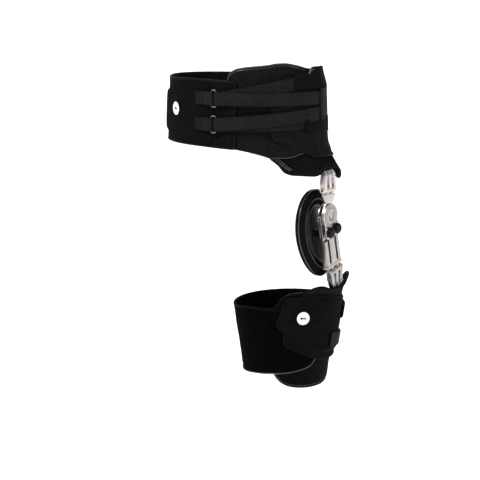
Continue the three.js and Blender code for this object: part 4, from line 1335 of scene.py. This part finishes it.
PLATE_AXES = Matrix(((0, 0, 1, 0), (1, 0, 0, 0), (0, 1, 0, 0), (0, 0, 0, 1)))
CROSS_AXES = Matrix(((1, 0, 0, 0), (0, 0, -1, 0), (0, 1, 0, 0), (0, 0, 0, 1)))
OWN_AXES = Matrix.Identity(4)
ALONG_PIN = Matrix.Rotation(math.pi / 2, 4, "X")


def at(place, x, u, v):
    return place @ Matrix.Translation((x * MM, u * MM, v * MM))


DIAL_PLACE = at(OWN_AXES, 0, DIAL_Y, DIAL_Z)
ARM_PLACE = DIAL_PLACE @ Matrix.Rotation(FLEXION, 4, "X")
UPPER_PIN = at(OWN_AXES, PIN_X, DIAL_Y, UPPER_PIN_Z)
LOWER_PIN = at(ARM_PLACE, PIN_X, 0, LOWER_PIN_V) @ Matrix.Rotation(math.pi, 4, "X")


def arc(centre, radius, start, end, count=24):
    turns = np.radians(np.linspace(start, end, count))
    return [(centre[0] + radius * math.cos(t), centre[1] + radius * math.sin(t)) for t in turns]


def rounded(points, radius):
    """Outline with its corners rounded off."""
    points = [Vector(point) for point in points]
    made = []
    for i, corner in enumerate(points):
        before, after = points[i - 1] - corner, points[(i + 1) % len(points)] - corner
        cut = min(radius, 0.45 * before.length, 0.45 * after.length)
        start, end = corner + before.normalized() * cut, corner + after.normalized() * cut
        for share in np.linspace(0, 1, CORNER_POINTS):
            made.append(tuple(start.lerp(corner, share).lerp(corner.lerp(end, share), share)))
    return made


def machined(outlines, back, face, place, axes=PLATE_AXES, bevel=0.6):
    """Plate with bevelled edges from an outline and its holes, between two depths."""
    curve = bpy.data.curves.new("outline", "CURVE")
    curve.dimensions = "2D"
    curve.fill_mode = "BOTH"
    curve.bevel_depth = bevel * MM
    curve.bevel_resolution = 3
    curve.offset = -bevel * MM
    curve.extrude = ((face - back) / 2 - bevel) * MM
    for outline in outlines:
        spline = curve.splines.new("POLY")
        spline.points.add(len(outline) - 1)
        for point, (u, v) in zip(spline.points, outline):
            point.co = (u * MM, v * MM, 0, 1)
        spline.use_cyclic_u = True
    blank = link(bpy.data.objects.new("outline", curve))
    graph = bpy.context.evaluated_depsgraph_get()
    mesh = bpy.data.meshes.new_from_object(blank.evaluated_get(graph), depsgraph=graph)
    bpy.data.objects.remove(blank)
    mesh.transform(place @ axes @ Matrix.Translation((0, 0, (back + face) / 2 * MM)))
    return mesh


def gathered(name, meshes, material, crease=32):
    """One piece of several meshes, with its corners kept crisp."""
    shape = bmesh.new()
    for mesh in meshes:
        shape.from_mesh(mesh)
    bmesh.ops.remove_doubles(shape, verts=shape.verts, dist=2e-6)
    whole = taken_from(name, shape)
    piece = finish_mesh(whole, name, material)
    whole.set_sharp_from_angle(angle=math.radians(crease))
    return piece


def turned(profile, place, sides=48, axes=PLATE_AXES):
    mesh = turned_mesh("turned", profile, sides)
    mesh.transform(place @ axes)
    return mesh


def drawn_in(mesh, place):
    """Narrows a bracket's ribs towards its tongue."""
    back = place.inverted()
    for vertex in mesh.vertices:
        spot = back @ vertex.co
        share = min(1, max(0, spot.z / MM - 9) / 27)
        spot.y *= 1 - 0.3 * share
        vertex.co = place @ spot
    return mesh


def darken(piece, place, radius):
    """Marks a turned piece's middle for painted shade, so that its bore looks dark."""
    back = place.inverted()
    spots = [back @ vertex.co for vertex in piece.data.vertices]
    cut = np.array([math.hypot(spot.x, spot.y) < radius * MM for spot in spots], np.float32)
    piece.data.attributes.new("cut", "FLOAT", "POINT").data.foreach_set("value", cut)


def make_bracket(prefix, place, tongue, body, metal):
    """Ribbed bracket with fingers round its pin, a brass screw and the pin."""
    crown = rounded([(6, 23), (-0.5, 35), (-6, 29)], 3)[:2 * CORNER_POINTS]
    finger = arc((0, 0), 6, 180, 360, 20) + crown + [(-6, 28)]
    web = rounded([(-6, 9), (1.5, 9), (1.5, 27), (-6, 27)], 1.2)
    parts = []
    for middle in (-FINGER_SPREAD, 0, FINGER_SPREAD):
        parts.append(machined([finger], middle - FINGER_HALF, middle + FINGER_HALF, place, CROSS_AXES, 1.3))
    parts.append(machined([web], -BRACKET_HALF, BRACKET_HALF, place, CROSS_AXES, 0.6))
    parts.append(machined([rounded(tongue, 0.8)], -TONGUE_HALF, TONGUE_HALF, place, CROSS_AXES, 0.5))
    for part in parts:
        drawn_in(part, place)
    eye = [(2.2, 0), (3.9, 0), (4.2, 0.35), (3.9, 0.7), (2.9, 0.8), (2.4, 0.3), (2.2, 0)]
    for turn, side in ((ALONG_PIN, -19.1), (ALONG_PIN.inverted(), 19.1)):
        parts.append(turned(eye, at(place, 0, side, 0) @ turn, 32, OWN_AXES))
    bracket = gathered(f"{prefix}_bracket_body", parts, metal, 38)

    head = [(0, 0.5), (0.6, 0.5), (0.75, 1.15), (1.9, 1.1), (2.5, 0.85), (2.8, 0.3), (2.8, -1.2), (0, -1.2)]
    screw = gathered(f"{prefix}_brass_screw", [turned(head, at(place, 6, 0, 0))], BRASS, 40)
    end = [(0, 19.06), (1.85, 19.08), (1.95, 19.45), (2.1, 19.55), (2.2, 19.3)]
    rod = end + [(radius, -side) for radius, side in reversed(end)]
    across = place @ ALONG_PIN
    pin = gathered(f"{prefix}_hinge_pin", [turned(rod, across, 32, OWN_AXES)], SHADED_CUT_METAL)
    # Painted shade in the pin's end, so that it reads as a dark bore.
    darken(pin, across, 1.9)
    dish = at(place, 1.5, math.copysign(6.9, place[1][1]), 16) @ PLATE_AXES
    cup = [(0, 0.06), (1.4, 0.08), (1.55, 0.3), (2.1, 0.25), (2.3, 0), (2.2, -0.4), (0, -0.4)]
    hole = gathered(f"{prefix}_bracket_hole", [turned(cup, dish, 28, OWN_AXES)], SHADED_CUT_METAL)
    # Painted shade in the shallow dish, so that it reads as a dark hole.
    darken(hole, dish, 1.45)
    settle([bracket, hole], body, [f"{prefix}_bracket"])
    settle([screw], body, [f"{prefix}_screw"])
    settle([pin], body, [f"{prefix}_pin"])


def knuckle_pair(place, v, stem_low, stem_high, back, face):
    """Two knuckles round a pin, with the stems that carry them."""
    sleeve = [(2.7, 2.9), (5.2, 3), (6, 2.4), (6, -2.4), (5.2, -3), (2.7, -2.9), (2.7, 2.9)]
    meshes = []
    for middle in (-FINGER_SPREAD / 2, FINGER_SPREAD / 2):
        meshes.append(turned(sleeve, at(place, PIN_X, middle, v) @ ALONG_PIN, 36, OWN_AXES))
        left, right = middle - KNUCKLE / 2, middle + KNUCKLE / 2
        stem = [(left, stem_low), (right, stem_low), (right, stem_high), (left, stem_high)]
        meshes.append(machined([stem], back, face, place, bevel=0.4))
    return meshes


def make_upper_arm():
    neck = rounded([(-12.2, 24), (-16.5, 31), (-16.5, 38.3), (16.5, 38.3), (16.5, 31), (12.2, 24)], 2.2)
    outline = arc((0, 0), EYE_RADIUS, 32, -212, 60) + neck
    hole = arc((0, 0), 4.6, 0, 345)
    ledge = rounded([(-17.3, 33), (17.3, 33), (17.3, 38.8), (-17.3, 38.8)], 1.4)
    meshes = [
        machined([outline, hole], EYE_BACK, EYE_FACE, DIAL_PLACE, bevel=0.5),
        machined([ledge], EYE_BACK - 1.2, EYE_FACE + 1.6, DIAL_PLACE, bevel=0.7),
        *knuckle_pair(DIAL_PLACE, UPPER_PIN_V, 37.3, UPPER_PIN_V - 3.5, EYE_BACK, EYE_FACE),
    ]
    settle([gathered("hinge_arm", meshes, ALUMINIUM)], "hinge_upper", ["upper_arm"])


def dial_outline(radius):
    middle = BAR_HALF - DIAL_CORNER
    left = arc((-middle, -29), DIAL_CORNER, 180, 270, 12)
    return arc((0, 0), radius, -25.2, 205.2, 72) + left + arc((middle, -29), DIAL_CORNER, 270, 360, 12)


def engraved_face(name, place):
    """Dial face with its ring, its marks and its curved slot cut into it."""
    edge = DIAL_FACE_RADIUS
    radii = np.concatenate([np.linspace(0.02, edge - 0.9, 62), [edge - 0.5, edge - 0.15, edge, edge]])
    r, t = np.meshgrid(radii, np.radians(np.arange(0, 360, 1.0)), indexing="ij")
    degrees = np.degrees(t)
    to_mark = np.abs((degrees + 5) % 10 - 5) * np.pi / 180 * r
    long_mark = np.abs((degrees + 15) % 30 - 15) < 4
    low = np.where(long_mark, 14.6, 16.0)
    marked = (degrees > 20) & (degrees < 250)
    within = smooth(low - 0.15, low, r) * (1 - smooth(17.9, 18.1, r))
    marks = (1 - smooth(0.22, 0.42, to_mark)) * within * marked
    ring = np.exp(-(((r - 13.6) / 0.35) ** 2))
    sweep = (degrees - 150) % 360
    curl = 4.6 + 4.4 * sweep / 250
    slot = (1 - smooth(0.8, 1.15, np.abs(r - curl))) * (sweep < 250)
    cut = np.clip(np.maximum(np.maximum(marks, 0.7 * ring), slot), 0, 1)
    height = 0.55 - 0.32 * cut
    height[-4:] = np.array([0.55, 0.5, 0.38, 0.0])[:, None]
    points = np.stack([r * np.cos(t), r * np.sin(t), height], -1).reshape(-1, 3) * MM
    index = np.arange(r.size).reshape(r.shape)
    looped = np.concatenate([index, index[:, :1]], 1)
    mesh = built_mesh(name, points, grid_quads(looped).tolist() + [index[0, ::-1].tolist()])
    mesh.transform(at(place, HINGE_FACE, 0, 0) @ PLATE_AXES)
    # The cut marks also carry painted shade through the cut attribute.
    mesh.attributes.new("cut", "FLOAT", "POINT").data.foreach_set("value", cut.ravel().astype(np.float32))
    return turn_outwards(finish_mesh(mesh, name, SHADED_CUT_METAL))


def make_dial():
    holes = [arc((side * SLOT_SPREAD, KNOB_V), STUD_HOLE, 0, 340, 18) for side in (-1, 1)]
    middle = arc((0, 0), STUD_HOLE, 0, 340, 18)
    cover = machined([dial_outline(DIAL_RADIUS), *holes, middle], FRONT_BACK, HINGE_FACE, ARM_PLACE)
    base = machined([dial_outline(BACK_RADIUS), *holes], BACK_BACK, BACK_FACE, ARM_PLACE, bevel=0.5)
    front = gathered("dial_front", [cover], ALUMINIUM)
    back = gathered("dial_back", [base], ALUMINIUM)
    face = engraved_face("dial_marks", ARM_PLACE)
    pin = [(0, 1.1), (1.4, 1.05), (1.9, 0.7), (2.1, 0.2), (2.1, -4.5), (4.1, -4.5), (4.1, -7.1), (0, -7.1)]
    pivot = gathered("dial_pivot", [turned(pin, at(ARM_PLACE, HINGE_FACE, 0, 0))], ALUMINIUM, 40)
    dome = [(0, 1.5), (1.2, 1.45), (2.3, 1.2), (2.9, 0.75), (3.1, 0.2), (3.1, -0.5), (0, -0.5)]
    places = ((0.4, 0.5, 12.4), (0, -17.2, -17.5), (0, 17.2, -17.5))
    domes = [turned(dome, at(ARM_PLACE, HINGE_FACE + raised, u, v), 32) for raised, u, v in places]
    screws = gathered("dial_screws", domes, ALUMINIUM, 40)
    settle([front], "hinge_lower", ["dial_plate"])
    settle([back], "hinge_lower", ["back_plate"])
    settle([pivot], "hinge_lower", ["pivot"])
    settle([face, screws], "hinge_lower")


def make_knob(name, side, body, node):
    """Domed knob with grip ribs, and the stud that clamps the plates on the bar."""
    place = at(ARM_PLACE, HINGE_FACE + 0.5, side * SLOT_SPREAD, KNOB_V)
    head = [(0, 6.9), (2.3, 6.9), (2.9, 7.3), (3.4, 8), (5.2, 7.8), (7.1, 6.9), (8.3, 5.4), (8.7, 4.2),
            (8.7, 1.2), (8.2, 0.4), (6, 0), (0, 0)]
    stud = [(0, 0.4), (2.1, 0.4), (2.1, -17.2), (1.5, -17.8), (0, -17.8)]
    knob = gathered(name, [turned(head, place, 56), turned(stud, place, 24)], KNOB_BLACK, 40)
    sizes = {"Count": 22, "Radius": 8.6 * MM, "Rib": 0.62 * MM, "Height": 4.2 * MM, "Material": KNOB_BLACK}
    ribs = grow(f"{name}_grip", GRIP, [[(0, 0, 0), (0, 0, MM)]], **sizes)
    ribs.data.transform(at(place, 2.9, 0, 0) @ PLATE_AXES)
    settle([knob, ribs], body, [node])


def slot_outline(u, top, bottom):
    upper = arc((u, top - SLOT_RADIUS), SLOT_RADIUS, 0, 180, 14)
    return upper + arc((u, bottom + SLOT_RADIUS), SLOT_RADIUS, 180, 360, 14)


def make_bar():
    sides = (-SLOT_SPREAD, SLOT_SPREAD)
    tongue = rounded([(-BAR_HALF, -42), (BAR_HALF, -42), (BAR_HALF, 6), (-BAR_HALF, 6)], 2)
    tongue_slots = [slot_outline(u, 2, -41.2) for u in sides]
    rails = [(-BAR_HALF, -90), (BAR_HALF, -90), (BAR_HALF, RAILS_TOP)]
    for u in reversed(sides):
        left, right = u - SLOT_RADIUS, u + SLOT_RADIUS
        rails += [(right, RAILS_TOP), *arc((u, -81.3), SLOT_RADIUS, 0, -180, 12), (left, RAILS_TOP)]
    rails.append((-BAR_HALF, RAILS_TOP))
    foot = rounded([(-22.5, -92), (22.5, -92), (20.8, -86.5), (-20.8, -86.5)], 1.2)
    meshes = [
        machined([tongue, *tongue_slots], TONGUE_BACK, TONGUE_FACE, ARM_PLACE, bevel=0.5),
        machined([rails], BACK_BACK, EYE_FACE, ARM_PLACE, bevel=1.2),
        machined([foot], BACK_BACK - 0.2, EYE_FACE + 0.5, ARM_PLACE, bevel=0.8),
        *knuckle_pair(ARM_PLACE, LOWER_PIN_V, -97, -90.5, PIN_X - 3.5, PIN_X + 2.5),
    ]
    settle([gathered("slotted_bar", meshes, BAR_METAL)], "bar", ["thigh_bar"])


# Hip pad

PAD_TURN = Matrix.Rotation(PAD_TILT, 4, "X") @ Matrix.Rotation(PAD_TWIST, 4, "Z")
PAD_PLACE = at(ARM_PLACE, *PAD_PLACE_MM) @ PAD_TURN


def egg_rings(size, inset, depth):
    """Rings of an egg shape on the pad's own axes, each at an inset from the outer oval and a depth."""
    turns = np.linspace(0, 2 * math.pi, PAD_SIDES, endpoint=False)
    inset = np.asarray(inset, float)[..., None]
    high = (size[1] - inset) * np.sin(turns)
    wide = (size[0] - inset) * np.cos(turns) * (1 + PAD_TAPER * high / size[1])
    return np.stack([np.asarray(depth, float)[..., None] + 0 * high, wide, high], -1)


def egg(name, size, section, material):
    """Closed egg-shaped piece: each row of its section has an inset from the outer oval and a depth."""
    section = np.array(section, float)
    points = egg_rings(size, *section.T).reshape(-1, 3) * MM
    index = np.arange(len(points)).reshape(len(section), PAD_SIDES)
    mesh = built_mesh(name, points, capped_tube(index))
    mesh.transform(PAD_PLACE)
    round_run = np.linspace(0, 2 * math.pi, PAD_SIDES, endpoint=False) * size[0]
    uv = np.stack([np.tile(round_run, len(section)), np.repeat(run_along(section), PAD_SIDES)], 1) * MM
    return turn_outwards(finish_mesh(mesh, name, material, uv, np.zeros(len(points))))


def egg_line(inset, depth):
    """Line round the hip cushion."""
    return [PAD_PLACE @ Vector(point) for point in egg_rings(PAD_SIZE, inset, depth) * MM]


def smooth_section(rows, count):
    """Even rows along a smooth curve through a section's rows."""
    route = smooth_route([(a, b, 0) for a, b in rows], 0.01)
    run = run_along(route)
    even = np.linspace(0, run[-1], count)
    return np.stack([np.interp(even, run, route[:, 0]), np.interp(even, run, route[:, 1])], 1)


def make_pad():
    rows = [(54, -3.5), (40, -3.5), (23.2, -3.5), (21.8, -2.2), (20, -0.6), (17, 0.9), (15.6, 0.5), (14, 1.2),
            (10, 1.6), (5.5, 0.4), (2.6, -2.2), (0.8, -5), (0, -7), (0.8, -9.2), (3.5, -11.2), (9, -12),
            (23, -11.6), (42, -10.8), (54, -10.5)]
    cushion = egg("hip_cushion", PAD_SIZE, smooth_section(rows, PAD_ROWS), CUSHION)
    puff_pad(cushion)
    trims = [
        piped("hip_cushion_rim", [egg_line(1.0, -4.2)], 1.1, closed=True),
        piped("hip_cushion_bead", [egg_line(PAD_BEAD, 0.9)], 0.8, closed=True),
        piped("hip_cushion_back_rim", [egg_line(1.4, -10.0)], 0.9, closed=True),
        stitched("hip_cushion_seam", [egg_line(12.6, 1.55)], closed=True),
    ]
    settle([cushion, *trims], "hinge_lower", ["trochanter_pad"])

    dome = [(36.5, 1.35), (30, 1.25), (18, 0.95), (9, 0.45), (6.2, 0.2), (5.2, -0.25), (4.4, 0.1),
            (2.2, -0.1), (0.8, -0.6), (0, -1.5), (0, -3), (36.5, -3)]
    plate = egg("hip_pad_plate", PAD_PLATE_SIZE, dome, PAD_BLACK)
    settle([plate], "hinge_lower", ["pad_plate"])
    stud = [(0, 9.9), (4.2, 9.9), (5, 9.3), (5, 3.2), (6.6, 2.6), (7.6, 1.9), (7.8, 1.5), (0, 1.5)]
    boss = gathered("hip_pad_stud", [turned(stud, PAD_PLACE, 40)], PAD_BLACK, 40)
    settle([boss], "hinge_lower", ["pad_stud"])


def puff_pad(cushion):
    """Fills the cushion between its seams, with the seat of the plate held flat."""
    mesh = cushion.data
    to_pad = PAD_PLACE.inverted()
    depth, wide, high = np.array([to_pad @ vertex.co for vertex in mesh.vertices]).T / MM
    wide = wide / (1 + PAD_TAPER * high / PAD_SIZE[1])
    inset = (1 - np.hypot(wide / PAD_SIZE[0], high / PAD_SIZE[1])) * 70
    seat = (depth > -4.5) & (inset > PAD_PLATE_SEAT)
    to_seam = np.minimum(np.abs(inset - PAD_BEAD), np.abs(inset - PAD_RIM_SEAM))
    edge = np.where(seat, 0, to_seam) * MM
    mesh.attributes["edge"].data.foreach_set("value", edge.astype(np.float32))
    puff(cushion, pressure=5.0, cap=1.6, hold=1.4)


# Thigh cuff

def make_thigh_panel():
    edges = [[-74, -338, -452], [-68.5, -329, -462], [-63, -316, -469], [-54, -306, -475], [-40, -303, -479],
             [-17, -302, -481], [0, -303, -481], [14, -305, -479], [30, -310, -470], [42, -316, -455],
             [62, -326, -440]]
    wall = ClothWall(thigh_point, edges, THIGH_PANEL_LAYER, (4, 8, 6, 8), relief=taped(30, 0.7, 61.4))
    panel = puff(wall.mesh("thigh_pad", PANEL), pressure=4.0, cap=1.3)
    low = edge_line(wall, -73.5, 60, "bottom", 1.0)
    high = edge_line(wall, -73.5, 60, "top", 1.0)
    bead = edge_line(wall, -70, 58, "bottom", 4.6)
    trims = [
        piped("thigh_pad_piping", laid(panel, wall, [low], 0.3), 0.9),
        piped("thigh_pad_binding", laid(panel, wall, [high], 0.3), 0.9, FLAP_FOLD),
        piped("thigh_pad_bead", laid(panel, wall, [bead], 0.05), 0.45),
        sewn_edge("thigh_pad_seam", panel, wall, 2.9),
    ]
    settle([panel, *trims], CUFF, ["thigh_panel"])


def make_thigh_pocket():
    low = -328
    edges = [[-40, -303, -327], [-31, -298, low], [-17, -294, low], [-8, -299, low], [6, -301, low],
             [17, -300, low], [20, -290, low], [24, -282, low], [29, -281, low], [34, -289, low],
             [40, -307, low], [44, -314, low]]
    wall = ClothWall(thigh_point, edges, POCKET_LAYER, (2, 2, 2, 2), pocket_swell, hemmed(18, 0.5, 71.9, 3.4))
    pocket = wall.mesh("thigh_pocket_cloth", POCKET, roll=1.5)
    rim = edge_line(wall, -39.5, 43.5, "top", 0.7)
    trims = [
        piped("thigh_pocket_piping", laid(pocket, wall, [rim], 0.2), 0.9, FLAP_FOLD),
        sewn("thigh_pocket_seam", pocket, wall, edge_line(wall, -38, 42, "top", 4.6)),
    ]
    settle([pocket, *trims], CUFF, ["thigh_pocket"])
    lay_sheet(wall)


def make_thigh_wrap():
    edges = [[-300, -336, -444], [-220, -340, -458], [-160, -341, -462], [-128, -339.5, -461],
             [-95, -332.5, -455.5], [-75, -331.5, -453], [-57, -331, -450], [-42, -331, -446],
             [-27, -331, -440], [-19, -331, -433], [-16, -331, -428]]

    def relief(run, z, edge):
        drag = waves(run * 0.5, z * 1.4, 34, 0.8, 81.2) * smooth(6, 18, edge)
        return tape_step(edge, 0.25) + drag

    wall = ClothWall(thigh_point, edges, WRAP_LAYER, (6, 6, 4, 16), relief=relief)
    wrap = wall.mesh("thigh_wrap_cloth", WRAP, roll=1.2)
    low = edge_line(wall, -300, -16.4, "bottom", 0.9)
    trims = [
        piped("thigh_wrap_piping", laid(wrap, wall, [low], 0.3), 1.1),
        sewn_edge("thigh_wrap_seam", wrap, wall, 2.8),
    ]
    settle([wrap, *trims], CUFF, ["thigh_wrap"])
    lay_sheet(wall)


def lay_flap(name, wall, material, node, stitch=SEAM):
    """A layer laid on the cuff, sewn all round."""
    flap = wall.mesh(name, material, roll=1.4)
    seam = sewn_edge(f"{name}_seam", flap, wall, 2.6, stitch)
    settle([flap, seam], CUFF, [node])
    lay_sheet(wall)


def make_thigh_flaps():
    edges = [[-59.5, -372, -398], [-54, -370, -402], [-17, -366, -427], [0, -366, -432], [44, -366, -434]]
    wall = ClothWall(thigh_point, edges, LOWER_FLAP_LAYER, (6, 9, 4, 4), relief=taped(26, 0.5, 91.3))
    lay_flap("thigh_flap_under", wall, FLAP, "thigh_flap_lower")

    edges = [[-66, -350, -361], [-64.5, -347, -365.5], [-57, -314, -374], [-53, -310.5, -379],
             [-35, -308, -403], [-20, -308, -411], [-9, -311, -415], [5, -316, -417], [20, -323, -419],
             [33, -327, -420], [46, -329, -421]]
    wall = ClothWall(thigh_point, edges, UPPER_FLAP_LAYER, (4, 4, 4, 4), flap_bulge, taped(36, 0.45, 101.7))
    lay_flap("thigh_flap_over", wall, FLAP, "thigh_flap_upper")

    loops = (
        ("thigh_loop_high", [[21.5, -340, -364.5], [46, -340, -364.5]], "thigh_loop_upper"),
        ("thigh_loop_low", [[-2, -380, -409], [33, -390, -416], [46, -393, -418]], "thigh_loop_lower"),
    )
    relief = hemmed(22, 0.25, 111.1, 2.6)
    for name, edges, node in loops:
        wall = ClothWall(thigh_point, edges, LOOP_LAYER, (1.5, 1.5, 1.5, 1.5), flap_bulge, relief)
        lay_flap(name, wall, WEB, node, LOOP_SEAM)


set_stage()
make_belt()
make_hook_patch()
make_badge("belt_badge", waist_point, -122.0, 3.0, PATCH_LAYER[1] + 0.3, WAIST, "belt_disc")
make_webbing()
make_hip_panel()
make_hip_shell()
make_side_cover()
make_front_wing()
make_front_tabs()
make_front_band()
make_bracket("upper", UPPER_PIN, [(-6, 22), (1, 22), (-7, 45), (-18.6, 66), (-21.8, 66)], WAIST, CAST_METAL)
make_upper_arm()
make_dial()
make_knob("rear_clamp_knob", -1, "rear_knob", "knob_rear")
make_knob("front_clamp_knob", 1, "front_knob", "knob_front")
make_bar()
make_bracket("lower", LOWER_PIN, [(-6, 22), (1, 22), (1, 36), (-6, 36)], CUFF, BAR_METAL)
make_pad()
make_thigh_panel()
make_thigh_pocket()
make_thigh_wrap()
make_thigh_flaps()
make_badge("thigh_badge", thigh_point, -39.0, -346.0, UPPER_FLAP_LAYER[1] + 0.6, CUFF, "thigh_disc")
